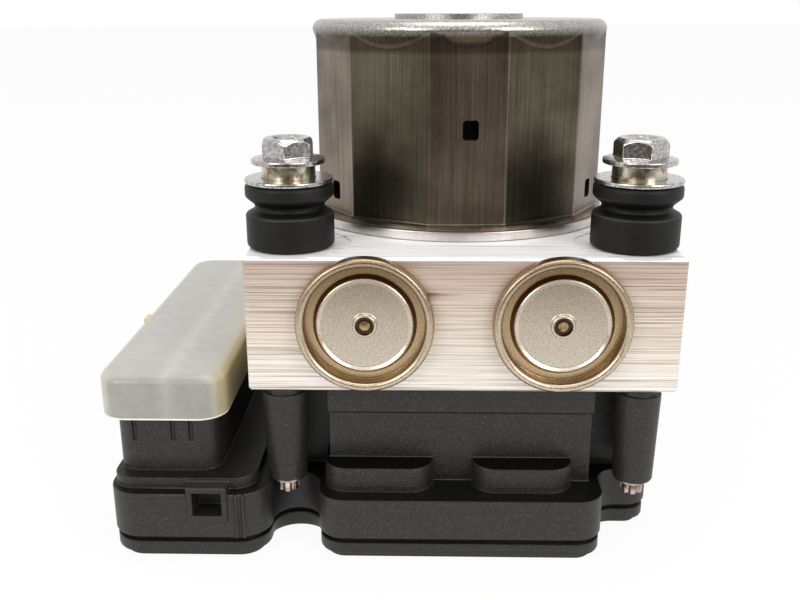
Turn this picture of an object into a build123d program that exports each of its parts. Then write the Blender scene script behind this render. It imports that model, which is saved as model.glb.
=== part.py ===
"""ABS brake module: hydraulic block with pump motor, accumulators, solenoid valves and control unit.

Millimetres, +Z up. The origin is on the motor axis, in the face that the module rests on.
-Y is the front, where the two accumulator caps are, and -X is the side of the plug connector.
"""
from build123d import *
from math import cos, pi, radians, sin
import os

# Hydraulic block
BLOCK_WIDTH = 90.0
BLOCK_HEIGHT = 29.0
BLOCK_FRONT = 50.5          # motor axis to front face
BLOCK_REAR = 45.5           # motor axis to rear face
BLOCK_EDGE = 0.5            # broken edge
DRILL_RUNOUT = 2.0          # a screw hole's depth beyond its screw

# Control unit, from the resting face upwards
COVER_HEIGHT = 4.3
COVER_FLOOR = 2.0
COVER_BEVEL = 1.5
COVER_SETBACK = 0.3
COVER_WALL = 2.6
SEAM_GAP = 1.2
TRAY_HEIGHT = 9.3
TOWER_HEIGHT = 23.2         # from the tray's top to the block
SHELL_WALL = 2.2
TOWER_WALL = 3.0
TRAY_OVERHANG = 5.0         # tray beyond the block, front and rear
TRAY_CORNER = 6.0
NOTCH_SHIFT = 1.8           # screw notches in the tray's edge, inside the pillars
NOTCH_RADIUS = 5.2
NOTCH_REACH = 2.8           # notch centre behind the block's face, beside the connector
OPEN_NOTCH_REACH = 5.3      # the same on the side away from the connector
TRAY_LEDGE = 0.8            # tray beyond the tower, on the sides
TRAY_SIDE_CORNER = 5.0
TOWER_INSET = 2.0           # tower inside the block, on the sides
TOWER_SETBACK = 13.0        # tower side parts behind the block's face
TOWER_CORNER = 3.0
PANEL_HALF_WIDTH = 28.6
PANEL_SETBACK = 4.5
BAND_HEIGHT = 6.8           # slightly wider band at the panel's top
BAND_PROUD = 0.4
BUMP_HEIGHT = 5.6
BUMP_FRONT = 1.2            # bump beyond the block's face
BUMP_CORNER = 5.2
BUMPS = ((-29.6, -5.8), (2.6, 24.4))

# Screw pillars of the control unit
PILLAR_INSET = 7.0          # pillars inside the block's sides
PILLAR_SETBACK = 4.2
PILLAR_TOP_RADIUS = 4.8
PILLAR_BOTTOM_RADIUS = 4.3
PILLAR_LENGTH = 20.2
PILLAR_SPIGOT = 1.3
PILLAR_WEB = 4.0
PILLAR_SHOULDER = 1.0       # pillar's narrower neck against the block
SCREW_RADIUS = 2.0
SCREW_HEAD_RADIUS = 2.35
SCREW_HEAD_HEIGHT = 3.0
SCREW_FLANGE_RADIUS = 3.9
SCREW_FLANGE = 0.5
SCREW_REACH = 8.0           # into the block
LOBE_RADIUS = 0.6

# Plug connector on the control unit
BASE_REACH = 31.4           # connector part beyond the block's side
BASE_CORNER = 7.0
BASE_RAISE = 1.1            # its top above the tray's top
PLATFORM_SETBACK = 2.7      # platform behind the base's front
PLATFORM_RAISE = 2.5
PLATFORM_CORNER = 5.0
PLATFORM_OVERLAP = 0.7      # platform under the block's side
PLATFORM_INSET = 0.7        # platform inside the base's outer side
COLLAR_REACH = 30.0         # collar's outer side beyond the block's side
COLLAR_NEAR = 7.4           # collar's inner side beyond the block's side
COLLAR_SETBACK = 1.3        # collar behind the block's face
COLLAR_HEIGHT = 20.8
COLLAR_WALL = 1.8
SOCKET_CORNER = 2.7
COLLAR_REAR_SETBACK = 2.7   # collar before the block's rear face
SLOT_PLACES = (4.4, 12.7, 16.6)  # from the collar's outer side
SLOT_WIDTH = 0.9
SLOT_DEPTH = 0.7
SLOT_FOOT = 7.0             # slots end this far above the platform
LATCH_OFFSET = 9.4          # beyond the block's side
LATCH_WIDTH = 6.2
LATCH_HEIGHT = 5.4
LATCH_DEPTH = 5.6
LATCH_SILL = 5.4            # window above the tray's lower edge
LATCH_FRAME = 1.3
LATCH_PROUD = 0.5
LATCH_WALL = 1.4
RIB_OFFSETS = (3.2, 1.7)    # beyond the block's side
RIB_WIDTH = 0.7
RIB_PROUD = 0.35
PIN_WIDTH = 0.9
PIN_HEIGHT = 7.0            # above the platform
PIN_COUNT = 13
PIN_PITCH = 6.0
PIN_ROW_PLACES = (6.0, 16.5)  # from the collar's outer side

# Circuit board and what holds it
BOARD_THICKNESS = 1.6
BOARD_LEVEL = 3.6           # its upper face above the tray's lower edge
BOARD_MARGIN = 1.2          # board's edge inside the shell's wall
BOARD_POST_RADIUS = 2.0
BOARD_POST_X = (-48.0, -20.0, 20.0)
BOARD_POST_SETBACK = 14.0
SEAL_SETBACK = 1.3

# Transport cap over the connector
CAP_WALL = 1.3
CAP_GAP = 0.35              # cap's roof above the collar
CAP_SIDE_GAPS = (1.7, 0.5)  # round the collar, on its outer and inner side
CAP_END_GAPS = (0.4, 1.4)   # in front of and behind the collar
CAP_SKIRT = 9.9
CAP_CORNER = 6.0
CAP_ROUND = 2.0
CAP_TAB = (1.4, 3.6, 6.8)
CAP_TAB_Y = -6.5

# Motor
CAN_RADIUS = 34.7
CAN_WALL = 1.5
CAN_HEIGHT = 43.3           # above the end plate
CAN_SHOULDER = 2.2
CAN_TURN = 1.8              # facets turned about the axis, degrees
CAN_LIP = 0.8               # flange at the can's foot
CAN_LIP_HEIGHT = 0.6
NARROW_FACET = 27.5         # degrees; narrow and wide facets alternate
FACET_COUNT = 12
FACET_PAIR = 720.0 / FACET_COUNT
FACET_FADE_FOOT = 36.9      # facets start to fade into the shoulder, above the end plate
FACET_FADE = 4.2
BOSS_RADIUS = 15.2
BOSS_HEIGHT = 1.15
HOLE_WIDTH = 3.4
HOLE_HEIGHT = 4.2
HOLE_CORNER = 0.8
HOLE_LEVELS = (21.5, 6.0)   # punched holes above the end plate, high and low
PLATE_MARGIN = 2.7          # end plate beyond the can
PLATE_THICKNESS = 2.2
SPIGOT_DEPTH = 5.5
PLATE_NOTCH_RADIUS = 10.8   # room in the end plate for the isolators
SHAFT_ROOM = 2.0            # radial room for the shaft in the end plate
BRUSH_PLATE = 1.8
BRUSH_PLATE_BORE = 12.0
SHAFT_RADIUS = 4.0
BEARING_RADIUS = 11.0
BEARING_WIDTH = 6.0
TOP_BEARING_RADIUS = 9.5
RUNNING_GAP = 0.04
MAGNET_THICKNESS = 5.614
ARMATURE_LENGTH = 22.0
AIR_GAP = 0.6
ARMATURE_SLOTS = 12
SLOT_OPENING = 3.0
WINDING_DEPTH = 6.0
WINDING_OVERLAP = 2.0       # end turns inside the slots' floor
TOOTH_TIP = 3.0             # armature beyond its windings
END_TURNS = 3.2
SHAFT_FOOT_GAP = 1.5
SHAFT_HEAD_GAP = 0.4
COMMUTATOR_SINK = 0.6       # below the brush plate's top
COMMUTATOR_RADIUS = 9.0
COMMUTATOR_LENGTH = 6.0
BRUSH_SIZE = (9.0, 6.0, 4.5)
MAGNET_ARC = 140.0
MAGNET_OVERHANG = 1.0       # beyond the armature core at each end
ECCENTRICITY = 1.0
JOURNAL_RADIUS = 5.5
ECCENTRIC_RING_RADIUS = 8.5
ECCENTRIC_LENGTH = 11.0
MOTOR_POST_RADIUS = 3.4
MOTOR_POST_Y = 24.5
MOTOR_POST_REACH = 6.0      # below the block
MOTOR_POST_STUB = 2.0       # above the brush plate

# Pump, across the block
CHAMBER_RADIUS = 13.0
CHAMBER_DEPTH = 19.5
PUMP_DEPTH = 12.0           # pump axis below the block's top
PUMP_RADIUS = 5.0
PISTON_LENGTH = 16.0
PUMP_PLUG_LENGTH = 9.8
PUMP_SPRING_RADIUS = 3.0
PUMP_WIRE = 0.5
PUMP_TIP_RADIUS = 3.5
PUMP_TIP = 2.0
PUMP_SPRING_PITCH = 1.76
PLUG_SINK = 0.4

# Low-pressure accumulators behind the pressed caps
ACCUMULATOR_X = 20.2
ACCUMULATOR_DEPTH = 13.8    # axis below the block's top
ACCUMULATOR_RADIUS = 11.4
ACCUMULATOR_BORE = 22.0
ACCUMULATOR_PISTON = 8.0
ACCUMULATOR_WIRE = 0.9
ACCUMULATOR_SPRING_PITCH = 3.8
ACCUMULATOR_SPRING_RADIUS = 5.6
PISTON_WALL = 3.2
PISTON_CROWN = 2.5
SEAL_WIDTH = 2.2
SEAL_DEPTH = 1.6
CAP_BEAD_RADIUS = 14.3      # outer radius of the rolled bead
CAP_BEAD_WIDTH = 1.9
CAP_BEAD_PROUD = 3.0
CAP_SHEET = 1.0
CAP_GROOVE_RADIUS = 10.6    # foot of the groove's inner wall
CAP_RIM_RADIUS = 9.7
CAP_RIM_PROUD = 2.1
CAP_RIM_SOFT = 0.4          # rounding of the rim's and the lip's edges
BEAD_STEPS = 6
CAP_DISC_RADIUS = 9.1
CAP_DISC_PROUD = 1.6
VENT_RADIUS = 2.7
VENT_PROUD = 0.7
VENT_HOLE = 1.87
VENT_PIN_RADIUS = 1.1

# Solenoid valves under the block
VALVE_X = (-28.0, -9.5, 9.5, 28.0)
VALVE_Y = (-17.0, 17.0)
VALVE_SEAT_RADIUS = 4.3
VALVE_SEAT_DEPTH = 10.5
VALVE_SLEEVE_RADIUS = 3.2
VALVE_SLEEVE_LENGTH = 16.0
VALVE_SLEEVE_WALL = 0.7
PLUNGER_LENGTH = 11.5
PLUNGER_TRAVEL = 0.3
COIL_RADIUS = 7.5
COIL_LENGTH = 13.5
COIL_DROP = 1.0             # coils below the block

# Rubber isolators on top of the block
ISOLATOR_INSET = 8.5        # isolators inside the block's sides
ISOLATOR_SETBACK = 12.2
RUBBER_RADIUS = 9.3
RUBBER_FOOT = 7.9
RUBBER_NECK_RADIUS = 7.35
RUBBER_NECK = 0.95
RUBBER_HEAD = 4.55
RUBBER_EDGE = 0.7
RUBBER_FOOT_SLOPE = 1.1     # heights of the slopes from the two flanges into the neck
RUBBER_HEAD_SLOPE = 1.7
WASHER_RADIUS = 9.25
WASHER_THICKNESS = 0.9
SLEEVE_RADIUS = 5.6
SLEEVE_WALL = 2.4
SLEEVE_PROUD = 3.0
BOLT_RADIUS = 3.0
BOLT_REACH = 12.0
BOLT_FLANGE_RADIUS = 7.7
BOLT_FLANGE_EDGE = 1.0
BOLT_FLANGE_CONE = 0.5
HEX_ACROSS_FLATS = 10.0
HEX_HEIGHT = 3.8
HEX_DISH = 0.7
HEX_DISH_RADIUS = 3.6
HEX_DISH_FLOOR = 2.4
HEX_CROWN = 1.2             # height of the crown's turned chamfer
HEX_TOP_RADIUS = 4.65
HEX_TURNS = (1.8, 8.6)      # left and right head, degrees from a corner in front
SPOT_RADIUS = 12.8
SPOT_DEPTH = 0.4

# Hydraulic ports and the stamped field's milled flat
WHEEL_PORT_SPACING = 22.0
WHEEL_PORT_COUNT = 4
WHEEL_PORT_RADIUS = 4.6
WHEEL_PORT_HEIGHT = 15.0    # above the block's lower face
# Unequal only because level floors left flat collision pieces; a real block drills them alike
WHEEL_PORT_DEPTHS = (12.0, 12.6, 13.2, 13.8)
MASTER_PORT_INSET = 7.5     # from the block's side
MASTER_PORT_Y = 25.0
MASTER_PORT_RADIUS = 5.5
MASTER_PORT_DEPTHS = {"left": 13.0, "right": 13.8}
BALL_PLUG_RADIUS = 2.5
BALL_PLUG_DEPTH = 4.0
BALL_PLUG_Y = (-24.0, 14.0, 36.0)
FLAT_DEPTH = 0.15
FLAT_HEIGHT = 16.1
FLAT_GAP = 1.4

OVER = 1.0                  # how far a cut runs past a face
FIT = 0.1                   # radial gap of a seated round part
SLIDE_GAP = 0.3             # radial gap of a piece that slides

# Heights, faces and places that follow from the sizes above
TRAY_BOTTOM = COVER_HEIGHT + SEAM_GAP
TRAY_TOP = TRAY_BOTTOM + TRAY_HEIGHT
BLOCK_BOTTOM = TRAY_TOP + TOWER_HEIGHT
BLOCK_TOP = BLOCK_BOTTOM + BLOCK_HEIGHT
FRONT_Y = -BLOCK_FRONT
REAR_Y = BLOCK_REAR
TRAY_FRONT = FRONT_Y - TRAY_OVERHANG
TRAY_REAR = REAR_Y + TRAY_OVERHANG
SIDE_X = BLOCK_WIDTH / 2
PILLAR_X = SIDE_X - PILLAR_INSET
TOWER_HALF_WIDTH = SIDE_X - TOWER_INSET
TRAY_SIDE = TOWER_HALF_WIDTH + TRAY_LEDGE
NOTCH_X = PILLAR_X - NOTCH_SHIFT
BULGE_HALF_WIDTH = NOTCH_X - NOTCH_RADIUS
BASE_LEFT = SIDE_X + BASE_REACH
BASE_RIGHT = NOTCH_X + NOTCH_RADIUS
BASE_TOP = TRAY_TOP + BASE_RAISE
PLATFORM_TOP = BASE_TOP + PLATFORM_RAISE
COLLAR_TOP = PLATFORM_TOP + COLLAR_HEIGHT
COLLAR_FRONT = FRONT_Y + COLLAR_SETBACK
COLLAR_CORNER = SOCKET_CORNER + COLLAR_WALL
COLLAR_REAR = REAR_Y - COLLAR_REAR_SETBACK
COLLAR_LEFT = SIDE_X + COLLAR_REACH
COLLAR_RIGHT = SIDE_X + COLLAR_NEAR
SLOT_X = tuple(place - COLLAR_LEFT for place in SLOT_PLACES)
PIN_ROWS = tuple(place - COLLAR_LEFT for place in PIN_ROW_PLACES)
LATCH_X = -SIDE_X - LATCH_OFFSET
LATCH_SILL_Z = TRAY_BOTTOM + LATCH_SILL
BOARD_TOP = TRAY_BOTTOM + BOARD_LEVEL
PLATE_TOP = BLOCK_TOP + PLATE_THICKNESS
CAN_TOP = PLATE_TOP + CAN_HEIGHT
WIDE_FACET = FACET_PAIR - NARROW_FACET
NARROW_FLAT = CAN_RADIUS * cos(radians(NARROW_FACET / 2))
WIDE_FLAT = CAN_RADIUS * cos(radians(WIDE_FACET / 2))
MAGNET_RADIUS = WIDE_FLAT - CAN_WALL - FIT
ARMATURE_RADIUS = MAGNET_RADIUS - MAGNET_THICKNESS - AIR_GAP
WINDING_OUTER_RADIUS = ARMATURE_RADIUS - TOOTH_TIP
WINDING_SLOT_RADIUS = WINDING_OUTER_RADIUS - WINDING_DEPTH
WINDING_INNER_RADIUS = WINDING_SLOT_RADIUS - WINDING_OVERLAP
PUMP_Z = BLOCK_TOP - PUMP_DEPTH
PORT_Z = BLOCK_BOTTOM + WHEEL_PORT_HEIGHT
ACCUMULATOR_Z = BLOCK_TOP - ACCUMULATOR_DEPTH
BORE_END = FRONT_Y + ACCUMULATOR_BORE
ISOLATOR_X = SIDE_X - ISOLATOR_INSET
ISOLATOR_Y = FRONT_Y + ISOLATOR_SETBACK
MASTER_PORT_X = SIDE_X - MASTER_PORT_INSET
WHEEL_PORT_X = tuple(WHEEL_PORT_SPACING * (index - (WHEEL_PORT_COUNT - 1) / 2)
                     for index in range(WHEEL_PORT_COUNT))
PILLAR_PLACES = tuple((x, y) for y in (FRONT_Y + PILLAR_SETBACK, REAR_Y - PILLAR_SETBACK)
                      for x in (-PILLAR_X, PILLAR_X))
PILLAR_HEAD = BLOCK_BOTTOM - PILLAR_SPIGOT
PILLAR_FOOT = PILLAR_HEAD - PILLAR_LENGTH
VALVE_PLACES = tuple((x, y) for y in VALVE_Y for x in VALVE_X)
BRUSH_PLATE_TOP = PLATE_TOP + BRUSH_PLATE
ARMATURE_FOOT = BRUSH_PLATE_TOP + COMMUTATOR_LENGTH + END_TURNS
SIDES = (("left", -1), ("right", 1))


def rod(radius, low, high, x=0.0, y=0.0):
    """Upright round bar from height low to height high."""
    return Pos(x, y, (low + high) / 2) * Cylinder(radius, high - low)


def ring(outer, inner, low, high, x=0.0, y=0.0):
    """Upright tube."""
    return rod(outer, low, high, x, y) - rod(inner, low, high, x, y)


def rod_x(radius, start, end, y, z):
    """Round bar along X."""
    return Pos((start + end) / 2, y, z) * Rot(0, 90, 0) * Cylinder(radius, abs(end - start))


def rod_y(radius, start, end, x, z):
    """Round bar along Y."""
    return Pos(x, (start + end) / 2, z) * Rot(90, 0, 0) * Cylinder(radius, abs(end - start))


def bar(x0, x1, y0, y1, z0, z1):
    """Box between two values on each axis."""
    return Pos((x0 + x1) / 2, (y0 + y1) / 2, (z0 + z1) / 2) * Box(x1 - x0, y1 - y0, z1 - z0)


def plate(x0, x1, y0, y1, corner=0.0):
    """Flat rectangle, with rounded corners where corner isn't 0."""
    if corner:
        shape = RectangleRounded(x1 - x0, y1 - y0, corner)
    else:
        shape = Rectangle(x1 - x0, y1 - y0)
    return Pos((x0 + x1) / 2, (y0 + y1) / 2) * shape


def raised(sketch, low, high):
    """Flat shape drawn up from height low to height high."""
    return extrude(Pos(0, 0, low) * sketch, amount=high - low)


def turned(points, x=0.0, y=0.0):
    """Piece turned about an upright axis from its (radius, height) outline."""
    outline = make_face(Polyline(*[(r, 0, z) for r, z in points], close=True))
    return Pos(x, y, 0) * revolve(outline, Axis.Z)


def coil(mean_radius, wire, length, pitch):
    """Helical spring with its axis along Z, from height 0 to length."""
    path = Pos(0, 0, wire) * Helix(pitch, length - 2 * wire, mean_radius)
    section = Plane(origin=path @ 0, z_dir=path % 0) * Circle(wire)
    return sweep(section, path=path)


def tray_outline():
    """Plan of the control unit's tray: body, front and rear bulges, connector part, screw notches."""
    bulge = plate(-BULGE_HALF_WIDTH, BULGE_HALF_WIDTH, TRAY_FRONT, TRAY_REAR, TRAY_CORNER)
    base = plate(-BASE_LEFT, -BASE_RIGHT, TRAY_FRONT, TRAY_REAR, BASE_CORNER)
    side_front = FRONT_Y + OPEN_NOTCH_REACH + NOTCH_RADIUS
    side_rear = REAR_Y - OPEN_NOTCH_REACH - NOTCH_RADIUS
    outline = bulge + base
    outline += plate(-TRAY_SIDE, TRAY_SIDE, side_front, side_rear, TRAY_SIDE_CORNER)
    outline += plate(-BASE_RIGHT, -BULGE_HALF_WIDTH, FRONT_Y + NOTCH_REACH, REAR_Y - NOTCH_REACH)
    outline += plate(BULGE_HALF_WIDTH, NOTCH_X, FRONT_Y + OPEN_NOTCH_REACH, REAR_Y - OPEN_NOTCH_REACH)
    for side, reach in ((-1, NOTCH_REACH), (1, OPEN_NOTCH_REACH)):
        for y in (FRONT_Y + reach, REAR_Y - reach):
            outline -= Pos(side * NOTCH_X, y) * Circle(NOTCH_RADIUS)
    return outline


def valve_block():
    """Extruded and bored aluminium block."""
    body = bar(-SIDE_X, SIDE_X, FRONT_Y, REAR_Y, BLOCK_BOTTOM, BLOCK_TOP)
    body = chamfer(body.edges(), BLOCK_EDGE)
    body -= rod(CHAMBER_RADIUS, BLOCK_TOP - CHAMBER_DEPTH, BLOCK_TOP + OVER)
    body -= rod(MOTOR_POST_RADIUS + SLIDE_GAP, BLOCK_BOTTOM - OVER, BLOCK_TOP + OVER, 0, MOTOR_POST_Y)
    bolt_hole_end = BLOCK_TOP - BOLT_REACH - DRILL_RUNOUT
    screw_hole_end = BLOCK_BOTTOM + SCREW_REACH + DRILL_RUNOUT
    for name, side in SIDES:
        face = side * SIDE_X
        x = side * ISOLATOR_X
        body -= rod_x(PUMP_RADIUS, side * CHAMBER_RADIUS / 2, face + side * OVER, 0, PUMP_Z)
        body -= rod_y(ACCUMULATOR_RADIUS, FRONT_Y - OVER, BORE_END, side * ACCUMULATOR_X, ACCUMULATOR_Z)
        body -= rod(SPOT_RADIUS, BLOCK_TOP - SPOT_DEPTH, BLOCK_TOP + OVER, x, ISOLATOR_Y)
        body -= rod(BOLT_RADIUS + FIT, bolt_hole_end, BLOCK_TOP, x, ISOLATOR_Y)
        body -= rod(MASTER_PORT_RADIUS, BLOCK_TOP - MASTER_PORT_DEPTHS[name], BLOCK_TOP + OVER,
                    side * MASTER_PORT_X, MASTER_PORT_Y)
        for y in BALL_PLUG_Y:
            body -= rod_x(BALL_PLUG_RADIUS, face - side * BALL_PLUG_DEPTH, face + side * OVER, y, PORT_Z)
    for x, depth in zip(WHEEL_PORT_X, WHEEL_PORT_DEPTHS):
        body -= rod_y(WHEEL_PORT_RADIUS, REAR_Y - depth, REAR_Y + OVER, x, PORT_Z)
    for x, y in VALVE_PLACES:
        body -= rod(VALVE_SEAT_RADIUS + FIT, BLOCK_BOTTOM - OVER, BLOCK_BOTTOM + VALVE_SEAT_DEPTH, x, y)
    for x, y in PILLAR_PLACES:
        body -= rod(SCREW_RADIUS + FIT, BLOCK_BOTTOM - OVER, screw_hole_end, x, y)
    return body - stamped_flat()


def ball_plugs():
    """Short plugs pressed into the block's cross drillings, on both sides."""
    plugs = Part()
    for _, side in SIDES:
        for y in BALL_PLUG_Y:
            face = side * (SIDE_X - PLUG_SINK)
            inner = side * (SIDE_X - BALL_PLUG_DEPTH)
            plugs += rod_x(BALL_PLUG_RADIUS, inner, face, y, PORT_Z)
    return plugs


def stamped_flat():
    """Shallow milled field at the front face's lower left, cut round beside the accumulator cap."""
    field = bar(-SIDE_X - OVER, -ACCUMULATOR_X, FRONT_Y - OVER, FRONT_Y + FLAT_DEPTH,
                BLOCK_BOTTOM - OVER, BLOCK_BOTTOM + FLAT_HEIGHT)
    return field - rod_y(CAP_BEAD_RADIUS + FLAT_GAP, FRONT_Y - 2 * OVER, FRONT_Y + OVER,
                         -ACCUMULATOR_X, ACCUMULATOR_Z)


def can_form(inset):
    """Outer or inner form of the drawn can: a faceted drum whose facets fade into a round shoulder."""
    radius = CAN_RADIUS - inset
    top = CAN_TOP - inset
    drum = rod(radius, PLATE_TOP, top)
    drum = fillet(drum.edges().group_by(Axis.Z)[-1], CAN_SHOULDER)
    sides = FACET_COUNT // 2
    narrow = RegularPolygon(NARROW_FLAT - inset, sides, major_radius=False, rotation=FACET_PAIR / 2)
    wide = RegularPolygon(WIDE_FLAT - inset, sides, major_radius=False)
    prism = raised(Rot(0, 0, CAN_TURN - 90) * (narrow & wide), PLATE_TOP, top)
    fade = PLATE_TOP + FACET_FADE_FOOT
    crown = turned([(0, fade), (WIDE_FLAT - inset, fade), (radius, fade + FACET_FADE), (radius, top),
                    (0, top)])
    return drum & (prism + crown)


def motor_can():
    """Deep-drawn steel can with a bearing boss, a foot flange and punched holes."""
    can = can_form(0.0) + rod(BOSS_RADIUS, CAN_TOP - CAN_WALL / 2, CAN_TOP + BOSS_HEIGHT)
    can += rod(CAN_RADIUS + CAN_LIP, PLATE_TOP, PLATE_TOP + CAN_LIP_HEIGHT)
    can -= can_form(CAN_WALL)
    can += ring(TOP_BEARING_RADIUS + CAN_WALL, TOP_BEARING_RADIUS, CAN_TOP - CAN_WALL - BEARING_WIDTH,
                CAN_TOP - CAN_WALL / 2)
    for index in range(FACET_COUNT // 2):
        level = PLATE_TOP + HOLE_LEVELS[index % 2] + HOLE_HEIGHT / 2
        shape = Rot(0, 90, 0) * RectangleRounded(HOLE_HEIGHT, HOLE_WIDTH, HOLE_CORNER)
        hole = extrude(Pos(CAN_RADIUS, 0, level) * shape, amount=2 * CAN_WALL, dir=(1, 0, 0), both=True)
        can -= Rot(0, 0, CAN_TURN - 90 + index * FACET_PAIR) * hole
    return can


def motor_end_plate():
    """Plate that closes the can, with the lower bearing's seat in its spigot."""
    body = rod(CAN_RADIUS + PLATE_MARGIN, BLOCK_TOP, PLATE_TOP)
    body += rod(CHAMBER_RADIUS - FIT, BLOCK_TOP - SPIGOT_DEPTH, BLOCK_TOP)
    body -= rod(BEARING_RADIUS, PLATE_TOP - BEARING_WIDTH, PLATE_TOP + OVER)
    body -= rod(SHAFT_RADIUS + SHAFT_ROOM, BLOCK_TOP - SPIGOT_DEPTH - OVER, PLATE_TOP)
    body -= rod(MOTOR_POST_RADIUS + FIT, BLOCK_TOP - OVER, PLATE_TOP + OVER, 0, MOTOR_POST_Y)
    for _, side in SIDES:
        body -= rod(PLATE_NOTCH_RADIUS, BLOCK_TOP - OVER, PLATE_TOP + OVER, side * ISOLATOR_X, ISOLATOR_Y)
    return body


def field_magnets():
    """Two magnet shells in the can."""
    outer = MAGNET_RADIUS
    inner = MAGNET_RADIUS - MAGNET_THICKNESS
    foot = ARMATURE_FOOT - MAGNET_OVERHANG
    head = ARMATURE_FOOT + ARMATURE_LENGTH + MAGNET_OVERHANG
    shell = ring(outer, inner, foot, head)
    gap = 180 - MAGNET_ARC
    for side in (-1, 1):
        wedge = Polyline((0, 0), (2 * outer, -2 * outer * sin(radians(gap / 2))),
                         (2 * outer, 2 * outer * sin(radians(gap / 2))), close=True)
        cut = raised(make_face(wedge), foot - OVER, head + OVER)
        shell -= Rot(0, 0, 90 * side) * cut
    return shell


def motor_inner_parts():
    """Brush plate, brushes, bearings and the post that carries the motor's contacts."""
    holder = ring(MAGNET_RADIUS, BRUSH_PLATE_BORE, PLATE_TOP, BRUSH_PLATE_TOP)
    holder -= rod(MOTOR_POST_RADIUS + FIT, PLATE_TOP - OVER, BRUSH_PLATE_TOP + OVER, 0, MOTOR_POST_Y)
    length, width, height = BRUSH_SIZE
    inner_end = COMMUTATOR_RADIUS + RUNNING_GAP
    brushes = Part()
    for side in (-1, 1):
        block = bar(COMMUTATOR_RADIUS / 2, inner_end + length, -width / 2, width / 2,
                    BRUSH_PLATE_TOP, BRUSH_PLATE_TOP + height)
        block -= rod(inner_end, BRUSH_PLATE_TOP - OVER, BRUSH_PLATE_TOP + height + OVER)
        brushes += Rot(0, 0, 90 - 90 * side) * block
    bore = SHAFT_RADIUS + RUNNING_GAP
    lower = ring(BEARING_RADIUS, bore, PLATE_TOP - BEARING_WIDTH, PLATE_TOP)
    upper = ring(TOP_BEARING_RADIUS, bore, CAN_TOP - CAN_WALL - BEARING_WIDTH, CAN_TOP - CAN_WALL)
    post = rod(MOTOR_POST_RADIUS, BLOCK_BOTTOM - MOTOR_POST_REACH, BRUSH_PLATE_TOP + MOTOR_POST_STUB,
               0, MOTOR_POST_Y)
    return {"brush_plate": holder, "carbon_brushes": brushes, "lower_bearing": lower,
            "upper_bearing": upper, "motor_contact_post": post}


def rotor():
    """Shaft with its eccentric, armature core, windings, commutator and the ring on the eccentric."""
    chamber_floor = BLOCK_TOP - CHAMBER_DEPTH
    eccentric_foot = PUMP_Z - ECCENTRIC_LENGTH / 2
    eccentric_head = PUMP_Z + ECCENTRIC_LENGTH / 2
    shaft = rod(SHAFT_RADIUS, chamber_floor + SHAFT_FOOT_GAP, CAN_TOP - CAN_WALL - SHAFT_HEAD_GAP)
    shaft += rod(JOURNAL_RADIUS, eccentric_foot, eccentric_head, 0, ECCENTRICITY)
    hub_ring = ring(ECCENTRIC_RING_RADIUS, JOURNAL_RADIUS, eccentric_foot, eccentric_head, 0, ECCENTRICITY)
    head = ARMATURE_FOOT + ARMATURE_LENGTH
    core = ring(ARMATURE_RADIUS, SHAFT_RADIUS, ARMATURE_FOOT, head)
    windings = ring(WINDING_OUTER_RADIUS, WINDING_INNER_RADIUS, ARMATURE_FOOT - END_TURNS, ARMATURE_FOOT)
    windings += ring(WINDING_OUTER_RADIUS, WINDING_INNER_RADIUS, head, head + END_TURNS)
    for index in range(ARMATURE_SLOTS):
        turn = Rot(0, 0, index * 360 / ARMATURE_SLOTS)
        slot = bar(WINDING_SLOT_RADIUS, WINDING_OUTER_RADIUS, -SLOT_OPENING / 2, SLOT_OPENING / 2,
                   ARMATURE_FOOT, head)
        mouth = bar(WINDING_OUTER_RADIUS - OVER, ARMATURE_RADIUS + OVER, -SLOT_OPENING / 4,
                    SLOT_OPENING / 4, ARMATURE_FOOT, head)
        core -= turn * (slot + mouth)
        windings += turn * slot
    commutator_foot = BRUSH_PLATE_TOP - COMMUTATOR_SINK
    commutator = ring(COMMUTATOR_RADIUS, SHAFT_RADIUS, commutator_foot, commutator_foot + COMMUTATOR_LENGTH)
    return {"motor_shaft": shaft, "eccentric_ring": hub_ring, "armature_core": core,
            "armature_windings": windings, "commutator": commutator}


def pump_parts(side):
    """Piston, spring and closing plug of one pump, along X."""
    tip = ECCENTRIC_RING_RADIUS + ECCENTRICITY + SLIDE_GAP
    shoulder = tip + PUMP_TIP
    tail = tip + PISTON_LENGTH
    spring_end = SIDE_X - PLUG_SINK - PUMP_PLUG_LENGTH
    piston = rod_x(PUMP_RADIUS - SLIDE_GAP, side * shoulder, side * tail, 0, PUMP_Z)
    piston += rod_x(PUMP_TIP_RADIUS, side * tip, side * shoulder, 0, PUMP_Z)
    turns = coil(PUMP_SPRING_RADIUS, PUMP_WIRE, spring_end - tail, PUMP_SPRING_PITCH)
    spring = Pos(side * tail, 0, PUMP_Z) * Rot(0, 90 * side, 0) * turns
    plug = rod_x(PUMP_RADIUS, side * spring_end, side * (SIDE_X - PLUG_SINK), 0, PUMP_Z)
    return piston, spring, plug


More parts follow.
